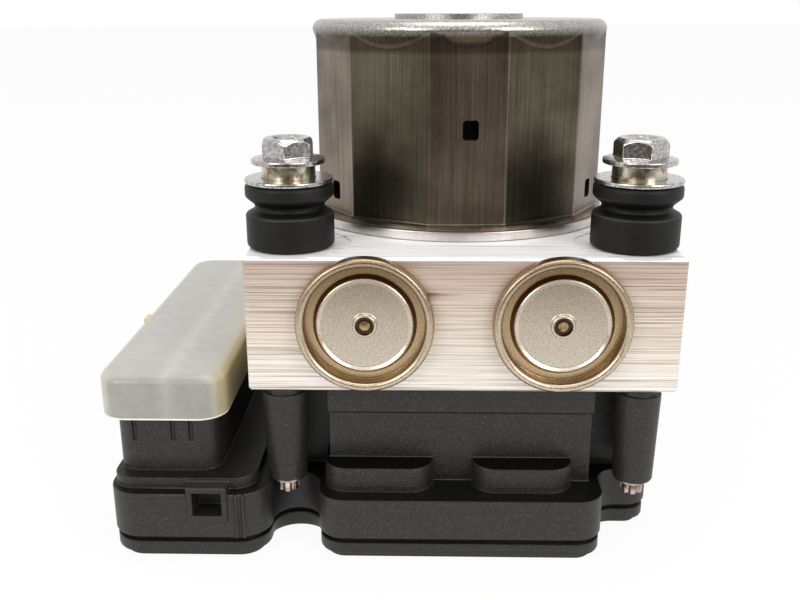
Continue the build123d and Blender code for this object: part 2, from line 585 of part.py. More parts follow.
def accumulator_cap(side):
    """Pressed steel cap: rolled bead, deep groove, raised rim round a disc, and a vent lip."""
    bend = CAP_BEAD_WIDTH / 2
    bead_middle = CAP_BEAD_RADIUS - bend
    neck = ACCUMULATOR_RADIUS - FIT
    disc_under = CAP_DISC_PROUD - CAP_SHEET
    outline = [(0, disc_under), (CAP_DISC_RADIUS, disc_under), (CAP_RIM_RADIUS, -CAP_SHEET),
               (neck, -CAP_SHEET), (neck, 0), (CAP_BEAD_RADIUS, 0)]
    for step in range(BEAD_STEPS + 1):
        angle = pi * step / BEAD_STEPS
        outline.append((bead_middle + bend * cos(angle), CAP_BEAD_PROUD - bend + bend * sin(angle)))
    outline += [(CAP_BEAD_RADIUS - CAP_BEAD_WIDTH, 0), (CAP_GROOVE_RADIUS, 0),
                (CAP_RIM_RADIUS + CAP_RIM_SOFT, CAP_RIM_PROUD - CAP_RIM_SOFT),
                (CAP_RIM_RADIUS, CAP_RIM_PROUD), (CAP_DISC_RADIUS, CAP_DISC_PROUD),
                (VENT_RADIUS, CAP_DISC_PROUD), (VENT_RADIUS - CAP_RIM_SOFT, CAP_DISC_PROUD + VENT_PROUD),
                (VENT_HOLE, CAP_DISC_PROUD + VENT_PROUD), (VENT_HOLE, CAP_DISC_PROUD),
                (0, CAP_DISC_PROUD)]
    cap = turned(outline) - rod(VENT_PIN_RADIUS, disc_under - OVER, CAP_DISC_PROUD + OVER)
    pin = rod(VENT_PIN_RADIUS, disc_under, CAP_DISC_PROUD + VENT_PROUD / 2)
    place = Pos(side * ACCUMULATOR_X, FRONT_Y, ACCUMULATOR_Z) * Rot(90, 0, 0)
    return place * cap, place * pin


def accumulator_inner(side):
    """Piston with its seal ring and the spring behind the cap."""
    x = side * ACCUMULATOR_X
    head = BORE_END - SLIDE_GAP
    foot = head - ACCUMULATOR_PISTON
    seat = head - PISTON_CROWN
    radius = ACCUMULATOR_RADIUS - SLIDE_GAP
    piston = rod_y(radius, foot, head, x, ACCUMULATOR_Z)
    piston -= rod_y(radius - PISTON_WALL, foot - OVER, seat, x, ACCUMULATOR_Z)
    middle = (foot + head) / 2
    groove_front = middle - SEAL_WIDTH / 2
    groove_rear = middle + SEAL_WIDTH / 2
    core = rod_y(radius - SEAL_DEPTH, groove_front - OVER, groove_rear + OVER, x, ACCUMULATOR_Z)
    piston -= rod_y(ACCUMULATOR_RADIUS, groove_front, groove_rear, x, ACCUMULATOR_Z) - core
    seal = rod_y(ACCUMULATOR_RADIUS - FIT, groove_front, groove_rear, x, ACCUMULATOR_Z) - core
    spring_front = FRONT_Y - CAP_DISC_PROUD + CAP_SHEET
    turns = coil(ACCUMULATOR_SPRING_RADIUS, ACCUMULATOR_WIRE, seat - spring_front,
                 ACCUMULATOR_SPRING_PITCH)
    spring = Pos(x, spring_front, ACCUMULATOR_Z) * Rot(-90, 0, 0) * turns
    return piston, seal, spring


def valve(x, y):
    """One cartridge: seat pressed into the block and a thin guide sleeve below it."""
    foot = BLOCK_BOTTOM - VALVE_SLEEVE_LENGTH
    cartridge = rod(VALVE_SEAT_RADIUS, BLOCK_BOTTOM, BLOCK_BOTTOM + VALVE_SEAT_DEPTH, x, y)
    cartridge += rod(VALVE_SLEEVE_RADIUS, foot, BLOCK_BOTTOM, x, y)
    bore = VALVE_SLEEVE_RADIUS - VALVE_SLEEVE_WALL
    floor = foot + VALVE_SLEEVE_WALL
    rest = floor + SLIDE_GAP
    cartridge -= rod(bore, floor, rest + PLUNGER_LENGTH + PLUNGER_TRAVEL + SLIDE_GAP, x, y)
    plunger = rod(bore - SLIDE_GAP, rest, rest + PLUNGER_LENGTH, x, y)
    coil_top = BLOCK_BOTTOM - COIL_DROP
    winding = ring(COIL_RADIUS, VALVE_SLEEVE_RADIUS + FIT, coil_top - COIL_LENGTH, coil_top, x, y)
    return cartridge, plunger, winding


def isolator(side, hex_turn):
    """Grommet, washer, spacer sleeve and flanged bolt at one front corner."""
    x = side * ISOLATOR_X
    seat = BLOCK_TOP - SPOT_DEPTH
    foot_top = BLOCK_TOP + RUBBER_FOOT
    neck_top = foot_top + RUBBER_NECK
    head_top = neck_top + RUBBER_HEAD
    washer_top = head_top + WASHER_THICKNESS
    bolt_seat = washer_top + SLEEVE_PROUD
    bore = SLEEVE_RADIUS + FIT
    rubber = turned([(bore, seat), (RUBBER_RADIUS - RUBBER_EDGE, seat), (RUBBER_RADIUS, seat + RUBBER_EDGE),
                     (RUBBER_RADIUS, foot_top - RUBBER_FOOT_SLOPE), (RUBBER_NECK_RADIUS, foot_top),
                     (RUBBER_NECK_RADIUS, neck_top), (RUBBER_RADIUS, neck_top + RUBBER_HEAD_SLOPE),
                     (RUBBER_RADIUS, head_top - RUBBER_EDGE), (RUBBER_RADIUS - RUBBER_EDGE, head_top),
                     (bore, head_top)], x, ISOLATOR_Y)
    washer = ring(WASHER_RADIUS, bore, head_top, washer_top, x, ISOLATOR_Y)
    sleeve = ring(SLEEVE_RADIUS, SLEEVE_RADIUS - SLEEVE_WALL, seat, bolt_seat, x, ISOLATOR_Y)
    cone_top = bolt_seat + BOLT_FLANGE_EDGE + BOLT_FLANGE_CONE
    bolt = rod(BOLT_RADIUS, BLOCK_TOP - BOLT_REACH, bolt_seat, x, ISOLATOR_Y)
    bolt += turned([(0, bolt_seat), (BOLT_FLANGE_RADIUS, bolt_seat),
                    (BOLT_FLANGE_RADIUS, bolt_seat + BOLT_FLANGE_EDGE),
                    (HEX_ACROSS_FLATS / 2, cone_top), (0, cone_top)], x, ISOLATOR_Y)
    hexagon = RegularPolygon(HEX_ACROSS_FLATS / 2, 6, major_radius=False, rotation=hex_turn - 90)
    head = raised(hexagon, bolt_seat + BOLT_FLANGE_EDGE, cone_top + HEX_HEIGHT)
    crown = cone_top + HEX_HEIGHT
    corner = HEX_ACROSS_FLATS / 2 / cos(pi / 6)
    head &= turned([(0, bolt_seat), (corner, bolt_seat), (corner, crown - HEX_CROWN),
                    (HEX_TOP_RADIUS, crown), (0, crown)])
    head -= turned([(0, crown - HEX_DISH), (HEX_DISH_FLOOR, crown - HEX_DISH), (HEX_DISH_RADIUS, crown),
                    (HEX_DISH_RADIUS, crown + OVER), (0, crown + OVER)])
    return rubber, washer, sleeve, bolt + Pos(x, ISOLATOR_Y, 0) * head


def control_unit_screw(x, y):
    """Screw with an external six-lobe head, up through its pillar into the block."""
    seat = PILLAR_FOOT
    screw = rod(SCREW_RADIUS, seat, BLOCK_BOTTOM + SCREW_REACH, x, y)
    screw += rod(SCREW_FLANGE_RADIUS, seat - SCREW_FLANGE, seat, x, y)
    head_top = seat - SCREW_FLANGE
    head_foot = head_top - SCREW_HEAD_HEIGHT
    head = rod(SCREW_HEAD_RADIUS, head_foot, head_top)
    for index in range(6):
        angle = radians(60 * index)
        head -= rod(LOBE_RADIUS, head_foot - OVER, head_top, SCREW_HEAD_RADIUS * cos(angle),
                    SCREW_HEAD_RADIUS * sin(angle))
    return screw + Pos(x, y, 0) * head


def tower_outline():
    """Plan of the housing between tray and block."""
    outline = plate(-TOWER_HALF_WIDTH, TOWER_HALF_WIDTH, FRONT_Y + TOWER_SETBACK, REAR_Y - TOWER_SETBACK,
                    TOWER_CORNER)
    outline += plate(-PANEL_HALF_WIDTH, PANEL_HALF_WIDTH, FRONT_Y + PANEL_SETBACK, REAR_Y - PANEL_SETBACK)
    return outline


def screw_pillars():
    """Tapered pillars for the control unit's screws, tied to the tower by webs."""
    pillars = Part()
    for x, y in PILLAR_PLACES:
        if y > 0:
            near, far = REAR_Y - TOWER_SETBACK - OVER, y
        else:
            near, far = y, FRONT_Y + TOWER_SETBACK + OVER
        cone = Cone(PILLAR_BOTTOM_RADIUS, PILLAR_TOP_RADIUS, PILLAR_LENGTH)
        pillars += Pos(x, y, (PILLAR_FOOT + PILLAR_HEAD) / 2) * cone
        pillars += rod(PILLAR_TOP_RADIUS - PILLAR_SHOULDER, PILLAR_HEAD, BLOCK_BOTTOM, x, y)
        pillars += bar(x - PILLAR_WEB / 2, x + PILLAR_WEB / 2, near, far, PILLAR_FOOT + OVER, PILLAR_HEAD)
    return pillars


def connector():
    """Connector part: platform, collar with guide slots, latch window and ribs."""
    front = TRAY_FRONT + PLATFORM_SETBACK
    base = plate(-BASE_LEFT, -BASE_RIGHT, TRAY_FRONT, TRAY_REAR, BASE_CORNER)
    body = raised(base, TRAY_TOP - OVER, BASE_TOP)
    platform = plate(-BASE_LEFT + PLATFORM_INSET, -SIDE_X + PLATFORM_OVERLAP, front,
                     TRAY_REAR - PLATFORM_SETBACK, PLATFORM_CORNER)
    body += raised(platform, TRAY_TOP, PLATFORM_TOP)
    collar = plate(-COLLAR_LEFT, -COLLAR_RIGHT, COLLAR_FRONT, COLLAR_REAR, COLLAR_CORNER)
    socket = plate(-COLLAR_LEFT + COLLAR_WALL, -COLLAR_RIGHT - COLLAR_WALL, COLLAR_FRONT + COLLAR_WALL,
                   COLLAR_REAR - COLLAR_WALL, SOCKET_CORNER)
    body += raised(collar - socket, PLATFORM_TOP - OVER, COLLAR_TOP)
    for x in SLOT_X:
        body -= bar(x - SLOT_WIDTH / 2, x + SLOT_WIDTH / 2, COLLAR_FRONT - OVER, COLLAR_FRONT + SLOT_DEPTH,
                    PLATFORM_TOP + SLOT_FOOT, COLLAR_TOP + OVER)
    reach = LATCH_WIDTH / 2 + LATCH_FRAME
    body += bar(LATCH_X - reach, LATCH_X + reach, TRAY_FRONT - LATCH_PROUD, front + LATCH_WALL,
                LATCH_SILL_Z - LATCH_FRAME, LATCH_SILL_Z + LATCH_HEIGHT + LATCH_FRAME)
    for offset_x in RIB_OFFSETS:
        x = -SIDE_X - offset_x
        body += bar(x - RIB_WIDTH / 2, x + RIB_WIDTH / 2, TRAY_FRONT - RIB_PROUD, TRAY_FRONT + OVER,
                    TRAY_BOTTOM, BASE_TOP)
    return body


def latch_recess():
    """Room for the plug's latch."""
    face = TRAY_FRONT - LATCH_PROUD
    return bar(LATCH_X - LATCH_WIDTH / 2, LATCH_X + LATCH_WIDTH / 2, face - OVER, face + LATCH_DEPTH,
               LATCH_SILL_Z, LATCH_SILL_Z + LATCH_HEIGHT)


def latch_box():
    """Wall round the latch recess inside the shell."""
    reach = LATCH_WIDTH / 2 + LATCH_WALL
    return bar(LATCH_X - reach, LATCH_X + reach, TRAY_FRONT + SHELL_WALL / 2,
               TRAY_FRONT - LATCH_PROUD + LATCH_DEPTH + LATCH_WALL, LATCH_SILL_Z - LATCH_WALL, BASE_TOP)


def contact_pins():
    """Two rows of connector pins, moulded into the housing and soldered to the circuit board."""
    pins = Part()
    half = PIN_WIDTH / 2
    first = (COLLAR_FRONT + COLLAR_REAR) / 2 - (PIN_COUNT - 1) / 2 * PIN_PITCH
    for x in PIN_ROWS:
        for index in range(PIN_COUNT):
            y = first + index * PIN_PITCH
            pins += bar(x - half, x + half, y - half, y + half, BOARD_TOP, PLATFORM_TOP + PIN_HEIGHT)
    return pins


def board_posts():
    """Posts under the tray's roof for the circuit board."""
    posts = Part()
    for x in BOARD_POST_X:
        for y in (TRAY_FRONT + BOARD_POST_SETBACK, TRAY_REAR - BOARD_POST_SETBACK):
            posts += rod(BOARD_POST_RADIUS, BOARD_TOP, TRAY_TOP - OVER, x, y)
    return posts


def control_unit_housing(outline, pins):
    """Moulded housing: tray, tower, front bumps, pillars and connector, hollow inside."""
    body = raised(outline, TRAY_BOTTOM, TRAY_TOP)
    body += raised(tower_outline(), TRAY_TOP - OVER, BLOCK_BOTTOM)
    band_width = PANEL_HALF_WIDTH + BAND_PROUD
    body += bar(-band_width, band_width, FRONT_Y + PANEL_SETBACK - BAND_PROUD,
                FRONT_Y + TOWER_SETBACK, BLOCK_BOTTOM - BAND_HEIGHT, BLOCK_BOTTOM)
    for start, end in BUMPS:
        rear = FRONT_Y + PANEL_SETBACK + 2 * BUMP_CORNER
        shape = plate(start, end, FRONT_Y - BUMP_FRONT, rear, BUMP_CORNER)
        body += raised(shape, TRAY_TOP - OVER, TRAY_TOP + BUMP_HEIGHT)
    body += screw_pillars() + connector()
    cavity = offset(outline, -SHELL_WALL, kind=Kind.INTERSECTION)
    body -= raised(cavity, TRAY_BOTTOM - OVER, TRAY_TOP - SHELL_WALL)
    body -= bar(-TOWER_HALF_WIDTH + TOWER_WALL, TOWER_HALF_WIDTH - TOWER_WALL,
                FRONT_Y + TOWER_SETBACK + TOWER_WALL, REAR_Y - TOWER_SETBACK - TOWER_WALL,
                TRAY_TOP, BLOCK_BOTTOM + OVER)
    body += board_posts() + latch_box()
    for x, y in PILLAR_PLACES:
        body -= rod(SCREW_RADIUS + SLIDE_GAP, PILLAR_FOOT - OVER, BLOCK_BOTTOM + OVER, x, y)
    return body - latch_recess() - pins


def control_unit_cover(outline):
    """Shallow cover under the tray, with an undercut lower edge."""
    rim = offset(outline, -COVER_SETBACK, kind=Kind.INTERSECTION)
    inner = offset(outline, -COVER_SETBACK - COVER_WALL, kind=Kind.INTERSECTION)
    foot = offset(outline, -COVER_SETBACK - COVER_BEVEL, kind=Kind.INTERSECTION)
    body = raised(rim, COVER_BEVEL, COVER_HEIGHT) + raised(foot, 0, COVER_BEVEL)
    return body - raised(inner, COVER_FLOOR, COVER_HEIGHT + OVER)


def cover_seal(outline):
    """Sealing bead between cover and tray, set back so that the seam shows as a groove."""
    outer = offset(outline, -SEAL_SETBACK, kind=Kind.INTERSECTION)
    inner = offset(outline, -COVER_SETBACK - COVER_WALL, kind=Kind.INTERSECTION)
    return raised(outer - inner, COVER_HEIGHT, TRAY_BOTTOM)


def circuit_board(outline):
    """Board held against the posts in the tray."""
    shape = offset(outline, -SHELL_WALL - BOARD_MARGIN, kind=Kind.INTERSECTION)
    return raised(shape, BOARD_TOP - BOARD_THICKNESS, BOARD_TOP)


def connector_cap():
    """Soft transport cap pushed over the connector's collar."""
    roof = COLLAR_TOP + CAP_GAP
    top = roof + CAP_WALL
    left = -COLLAR_LEFT - CAP_SIDE_GAPS[0]
    right = -COLLAR_RIGHT + CAP_SIDE_GAPS[1]
    front = COLLAR_FRONT - CAP_END_GAPS[0]
    rear = COLLAR_REAR + CAP_END_GAPS[1]
    inner = plate(left, right, front, rear, CAP_CORNER - CAP_WALL)
    outer = plate(left - CAP_WALL, right + CAP_WALL, front - CAP_WALL, rear + CAP_WALL, CAP_CORNER)
    body = raised(outer, top - CAP_SKIRT, top)
    body = fillet(body.faces().sort_by(Axis.Z)[-1].edges(), CAP_ROUND)
    tab_x, tab_y, tab_z = CAP_TAB
    body += bar(left - CAP_WALL - tab_x, left - CAP_WALL / 2, CAP_TAB_Y - tab_y / 2, CAP_TAB_Y + tab_y / 2,
                top - CAP_WALL - tab_z, top - CAP_WALL)
    return body - raised(inner, top - CAP_SKIRT - OVER, roof)


def build():
    """Every node's solid, by name."""
    nodes = {"valve_block": valve_block(), "motor_can": motor_can(), "motor_end_plate": motor_end_plate(),
             "field_magnets": field_magnets()}
    nodes.update(motor_inner_parts())
    nodes.update(rotor())
    plugs, washers, sleeves, bolts = Part(), Part(), Part(), Part()
    for (name, side), hex_turn in zip(SIDES, HEX_TURNS):
        nodes[f"pump_piston_{name}"], nodes[f"pump_spring_{name}"], plug = pump_parts(side)
        plugs += plug
        nodes[f"accumulator_cap_{name}"], nodes[f"vent_pin_{name}"] = accumulator_cap(side)
        inner = accumulator_inner(side)
        for part_name, shape in zip(("piston", "seal", "spring"), inner):
            nodes[f"accumulator_{part_name}_{name}"] = shape
        rubber, washer, sleeve, bolt = isolator(side, hex_turn)
        nodes[f"grommet_{name}"] = rubber
        washers += washer
        sleeves += sleeve
        bolts += bolt
    nodes.update({"pump_plugs": plugs, "grommet_washers": washers, "spacer_sleeves": sleeves,
                  "mounting_bolts": bolts, "ball_plugs": ball_plugs()})
    inlet, outlet, coils = Part(), Part(), Part()
    for index, (x, y) in enumerate(VALVE_PLACES):
        cartridge, plunger, winding = valve(x, y)
        kind = "inlet" if y < 0 else "outlet"
        nodes[f"{kind}_plunger_{index % len(VALVE_X) + 1}"] = plunger
        coils += winding
        if y < 0:
            inlet += cartridge
        else:
            outlet += cartridge
    screws = Part()
    for x, y in PILLAR_PLACES:
        screws += control_unit_screw(x, y)
    outline = tray_outline()
    pins = contact_pins()
    nodes.update({"inlet_valves": inlet, "outlet_valves": outlet, "valve_coils": coils,
                  "control_unit_screws": screws, "contact_pins": pins,
                  "control_unit_housing": control_unit_housing(outline, pins),
                  "control_unit_cover": control_unit_cover(outline), "cover_seal": cover_seal(outline),
                  "circuit_board": circuit_board(outline), "connector_cap": connector_cap()})
    return nodes


os.makedirs("parts", exist_ok=True)
for node, shape in build().items():
    export_step(shape, f"parts/{node}.step")
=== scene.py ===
import bmesh
import bpy
from math import radians
from mathutils import Matrix, Vector


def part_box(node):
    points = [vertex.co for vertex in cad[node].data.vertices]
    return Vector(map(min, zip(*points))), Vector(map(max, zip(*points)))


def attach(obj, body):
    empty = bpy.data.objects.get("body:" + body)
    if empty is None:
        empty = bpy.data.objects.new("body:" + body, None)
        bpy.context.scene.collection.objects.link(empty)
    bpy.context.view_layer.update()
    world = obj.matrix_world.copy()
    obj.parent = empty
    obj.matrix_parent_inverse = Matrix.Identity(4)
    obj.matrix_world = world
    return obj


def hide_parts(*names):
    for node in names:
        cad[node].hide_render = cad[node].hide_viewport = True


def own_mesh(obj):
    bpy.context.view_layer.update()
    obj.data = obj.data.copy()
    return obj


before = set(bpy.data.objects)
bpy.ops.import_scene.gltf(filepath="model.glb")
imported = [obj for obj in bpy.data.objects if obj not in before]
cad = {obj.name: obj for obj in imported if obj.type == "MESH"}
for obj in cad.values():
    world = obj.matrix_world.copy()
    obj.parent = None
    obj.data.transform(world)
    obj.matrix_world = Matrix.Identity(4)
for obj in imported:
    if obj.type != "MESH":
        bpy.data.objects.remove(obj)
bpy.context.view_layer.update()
MM = 0.001

# Hydraulic block: a length of aluminium bar, sawn on its sides and milled on its top, with broken edges.
# The saw leaves uneven level lines with a few deep ones, and the sides are painted darker and pinker towards the
# top as painted shade.
block_low, block_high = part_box("valve_block")
SAW_LINE = 0.32 * MM
DEEP_LINE = 1.2 * MM
LINE_LENGTH = 55 * MM
MILL_LINE = 0.8 * MM
MILL_TURN = -2                  # degrees off square
MILLED_DEPTH = 0.6 * MM         # of the bolts' spot faces, milled with the top
WELD = 0.002 * MM               # corners of the CAD mesh this close are one
FLAT_ANGLE = 0.5                # degrees; facets this level with each other are one face


def linear(code):
    """An sRGB hex colour as linear red, green, blue and alpha."""
    parts = [int(code[place:place + 2], 16) / 255 for place in (1, 3, 5)]
    return [c / 12.92 if c <= 0.04045 else ((c + 0.055) / 1.055) ** 2.4 for c in parts] + [1.0]


def add(tree, kind, inputs=None, stops=None, **settings):
    """Adds a node; a socket takes a value, a hex colour or another node's output."""
    made = tree.nodes.new("ShaderNode" + kind)
    for name, value in settings.items():
        setattr(made, name, value)
    for socket, value in (inputs or {}).items():
        if isinstance(value, bpy.types.NodeSocket):
            tree.links.new(value, made.inputs[socket])
        elif isinstance(value, str):
            made.inputs[socket].default_value = linear(value)
        else:
            made.inputs[socket].default_value = value
    for index, (position, colour) in enumerate(stops or []):
        elements = made.color_ramp.elements
        stop = elements[index] if index < 2 else elements.new(position)
        stop.position = position
        stop.color = linear(colour)
    return made


def material(name, shader):
    """New material with a Principled shader; returns it, its tree, its shader and the Object coordinates."""
    made = bpy.data.materials.new(name)
    made.use_nodes = True
    tree = made.node_tree
    tree.nodes.clear()
    skin = add(tree, "BsdfPrincipled", shader)
    add(tree, "OutputMaterial", {"Surface": skin.outputs["BSDF"]})
    return made, tree, skin, add(tree, "TexCoord").outputs["Object"]


def speckled(name, shader, speckles, detail, tones, distortion=0.0):
    """Material of one noise, so many speckles to a metre, that runs through a few tones."""
    made, tree, skin, place = material(name, shader)
    noise = add(tree, "TexNoise", {"Vector": place, "Scale": speckles, "Detail": detail, "Distortion": distortion})
    tone = add(tree, "ValToRGB", {"Fac": noise.outputs["Fac"]}, stops=tones)
    tree.links.new(tone.outputs[0], skin.inputs["Base Color"])
    return made


def softened(node, width, finish, body="module", angle=32, shortest=0.0, reshape=None):
    """Copy of a CAD piece whose sharp edges are slightly rounded, as the real piece's are."""
    piece = bpy.data.objects.new(node + "_finished", bpy.data.meshes.new(node + "_finished"))
    bpy.context.scene.collection.objects.link(piece)
    shape = bmesh.new()
    shape.from_mesh(cad[node].data)
    bmesh.ops.remove_doubles(shape, verts=shape.verts, dist=WELD)
    bmesh.ops.dissolve_limit(shape, angle_limit=radians(FLAT_ANGLE), verts=shape.verts, edges=shape.edges)
    if reshape:
        reshape(shape)
    if width:
        sharp = [edge for edge in shape.edges if edge.is_manifold and edge.calc_length() > shortest
                 and edge.calc_face_angle() > radians(angle)]
        bmesh.ops.bevel(shape, geom=sharp, offset=width, offset_type="OFFSET", segments=2, profile=0.5,
                        affect="EDGES", clamp_overlap=False, material=-1)
    shape.to_mesh(piece.data)
    shape.free()
    piece.data.shade_smooth()
    piece.data.set_sharp_from_angle(angle=radians(angle))
    piece.modifiers.new("even_normals", "WEIGHTED_NORMAL").keep_sharp = True
    piece.data.materials.append(finish)
    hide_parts(node)
    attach(piece, body)
    return piece


def sawn_aluminium():
    """Aluminium 6000 alloy, sawn: level lines on the sides, cross lines from the face mill on top."""
    made, tree, skin, place = material("sawn_aluminium", {})
    saw = add(tree, "Mapping", {"Vector": place, "Scale": (1 / LINE_LENGTH, 1 / LINE_LENGTH, 1 / SAW_LINE)})
    lines = add(tree, "TexNoise", {"Vector": saw.outputs[0], "Scale": 1.0, "Detail": 5.0, "Roughness": 0.7})
    deep = add(tree, "Mapping", {"Vector": place, "Scale": (1 / LINE_LENGTH, 1 / LINE_LENGTH, 1 / DEEP_LINE)})
    grooves = add(tree, "TexNoise", {"Vector": deep.outputs[0], "Scale": 1.0, "Detail": 8.0, "Roughness": 0.8})
    height = add(tree, "SeparateXYZ", {"Vector": place})
    level = add(tree, "MapRange", {"Value": height.outputs["Z"], "From Min": block_low.z,
                                   "From Max": block_high.z})
    # Painted shade: the sides turn darker and pinker towards the top.
    base = add(tree, "ValToRGB", {"Fac": level.outputs[0]},
               stops=[(0.1, "#FDF7EF"), (0.55, "#ECDFD1"), (0.95, "#CFBDB0")])
    shade = add(tree, "ValToRGB", {"Fac": lines.outputs["Fac"]},
                stops=[(0.34, "#83786E"), (0.43, "#D3CBC3"), (0.55, "#FFFFFF")])
    lined = add(tree, "Mix", {0: 0.85, 6: base.outputs[0], 7: shade.outputs[0]}, data_type="RGBA",
                blend_type="MULTIPLY")
    dark = add(tree, "ValToRGB", {"Fac": grooves.outputs["Fac"]},
               stops=[(0.28, "#86705F"), (0.35, "#FFFFFF")])
    side = add(tree, "Mix", {0: 0.8, 6: lined.outputs[2], 7: dark.outputs[0]}, data_type="RGBA",
               blend_type="MULTIPLY")
    mill = add(tree, "Mapping", {"Vector": place, "Rotation": (0, 0, radians(MILL_TURN)),
                                 "Scale": (1 / LINE_LENGTH, 1 / MILL_LINE, 1.0)})
    cuts = add(tree, "TexNoise", {"Vector": mill.outputs[0], "Scale": 1.0, "Detail": 5.0, "Roughness": 0.7})
    top = add(tree, "ValToRGB", {"Fac": cuts.outputs["Fac"]},
              stops=[(0.33, "#B5B1B0"), (0.46, "#F0EEEC"), (0.56, "#FDFCFB")])
    on_top = add(tree, "Math", {0: height.outputs["Z"], 1: block_high.z - MILLED_DEPTH},
                 operation="GREATER_THAN")
    colour = add(tree, "Mix", {0: on_top.outputs[0], 6: side.outputs[2], 7: top.outputs[0]},
                 data_type="RGBA")
    bump = add(tree, "Bump", {"Strength": 0.25, "Distance": 0.05 * MM, "Height": lines.outputs["Fac"]})
    rough = add(tree, "MapRange", {"Value": lines.outputs["Fac"], "To Min": 0.42, "To Max": 0.62})
    bright = add(tree, "MapRange", {"Value": on_top.outputs[0], "To Min": 0.7, "To Max": 0.2})
    tree.links.new(bright.outputs[0], skin.inputs["Metallic"])
    tree.links.new(colour.outputs[2], skin.inputs["Base Color"])
    tree.links.new(rough.outputs[0], skin.inputs["Roughness"])
    tree.links.new(bump.outputs[0], skin.inputs["Normal"])
    return made


block = softened("valve_block", 0, sawn_aluminium())

# Motor end plate: blanked from zinc-coated sheet and clamped under the can by its foot.
# Its edge is rolled over a little, so it shows as a bright ring with a darker band inside.
TURNED_BAND = 1.1 * MM
SHEET_BLOTS = 140.0             # to a metre


def zinc_sheet():
    """Zinc-coated steel sheet: light grey, with turned rings from its drawing tool."""
    made, tree, skin, place = material("zinc_sheet", {"Metallic": 1.0, "Roughness": 0.3})
    flat = add(tree, "VectorMath", {0: place, 1: (1, 1, 0)}, operation="MULTIPLY")
    radius = add(tree, "VectorMath", {0: flat.outputs[0]}, operation="LENGTH")
    rings = add(tree, "TexNoise", {"W": radius.outputs["Value"], "Scale": 1 / TURNED_BAND, "Detail": 4.0},
                noise_dimensions="1D")
    tone = add(tree, "ValToRGB", {"Fac": rings.outputs["Fac"]},
               stops=[(0.38, "#A79C98"), (0.5, "#DAD4D0"), (0.6, "#F2F0EE")])
    blot = add(tree, "TexNoise", {"Vector": place, "Scale": SHEET_BLOTS, "Detail": 6.0})
    mild = add(tree, "ValToRGB", {"Fac": blot.outputs["Fac"]}, stops=[(0.3, "#CFC9C6"), (0.6, "#FFFFFF")])
    colour = add(tree, "Mix", {0: 0.7, 6: tone.outputs[0], 7: mild.outputs[0]}, data_type="RGBA",
                 blend_type="MULTIPLY")
    tree.links.new(colour.outputs[2], skin.inputs["Base Color"])
    return made


plate = softened("motor_end_plate", 0.35 * MM, zinc_sheet())

# Motor can: deep drawn from sheet steel in twelve facets, with a bearing boss and punched cooling holes.
# Drawing leaves upright streaks and a mottled shoulder. Painted reflection tints the facets, painted highlights
# mark the creases where two facets meet and the curves where wide facets fade into the crown, and painted shade
# covers the narrow facets' tops.
can_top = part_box("motor_can")[1].z
CROWN_FROM = 4.2 * MM           # below the boss: the walls turn to the mottled crown between these two
CROWN_TO = 2.0 * MM
CROWN_RAGGED = 0.6 * MM
DRAW_BAND = 8.6 * MM            # from the boss down to the last draw ring
DRAW_FADE = 2 * MM
STREAK = 0.5 * MM
STREAK_LENGTH = 26 * MM
CAN_GRAIN = 0.4 * MM
CAN_PATCH = 14 * MM
FACET_PAIR = 60.0               # degrees of a wide and a narrow facet together
NARROW_FACET = 27.5
FACET_PLACE = -88.2             # degrees about the motor's axis, at the middle of a narrow facet
# width of the painted highlight on each crease, as a share
CREASE = 0.007                  # of a pair of facets
SMILE_FOOT = 107.2 * MM         # lowest point of the curve where a wide facet fades into the crown
SMILE_RISE = 3.2 * MM           # from there to the creases
SMILE_LINE = 0.6 * MM
LENS_FOOT = 106.9 * MM          # the same on a narrow facet, whose top gets painted shade
LENS_SHADE = 0.32


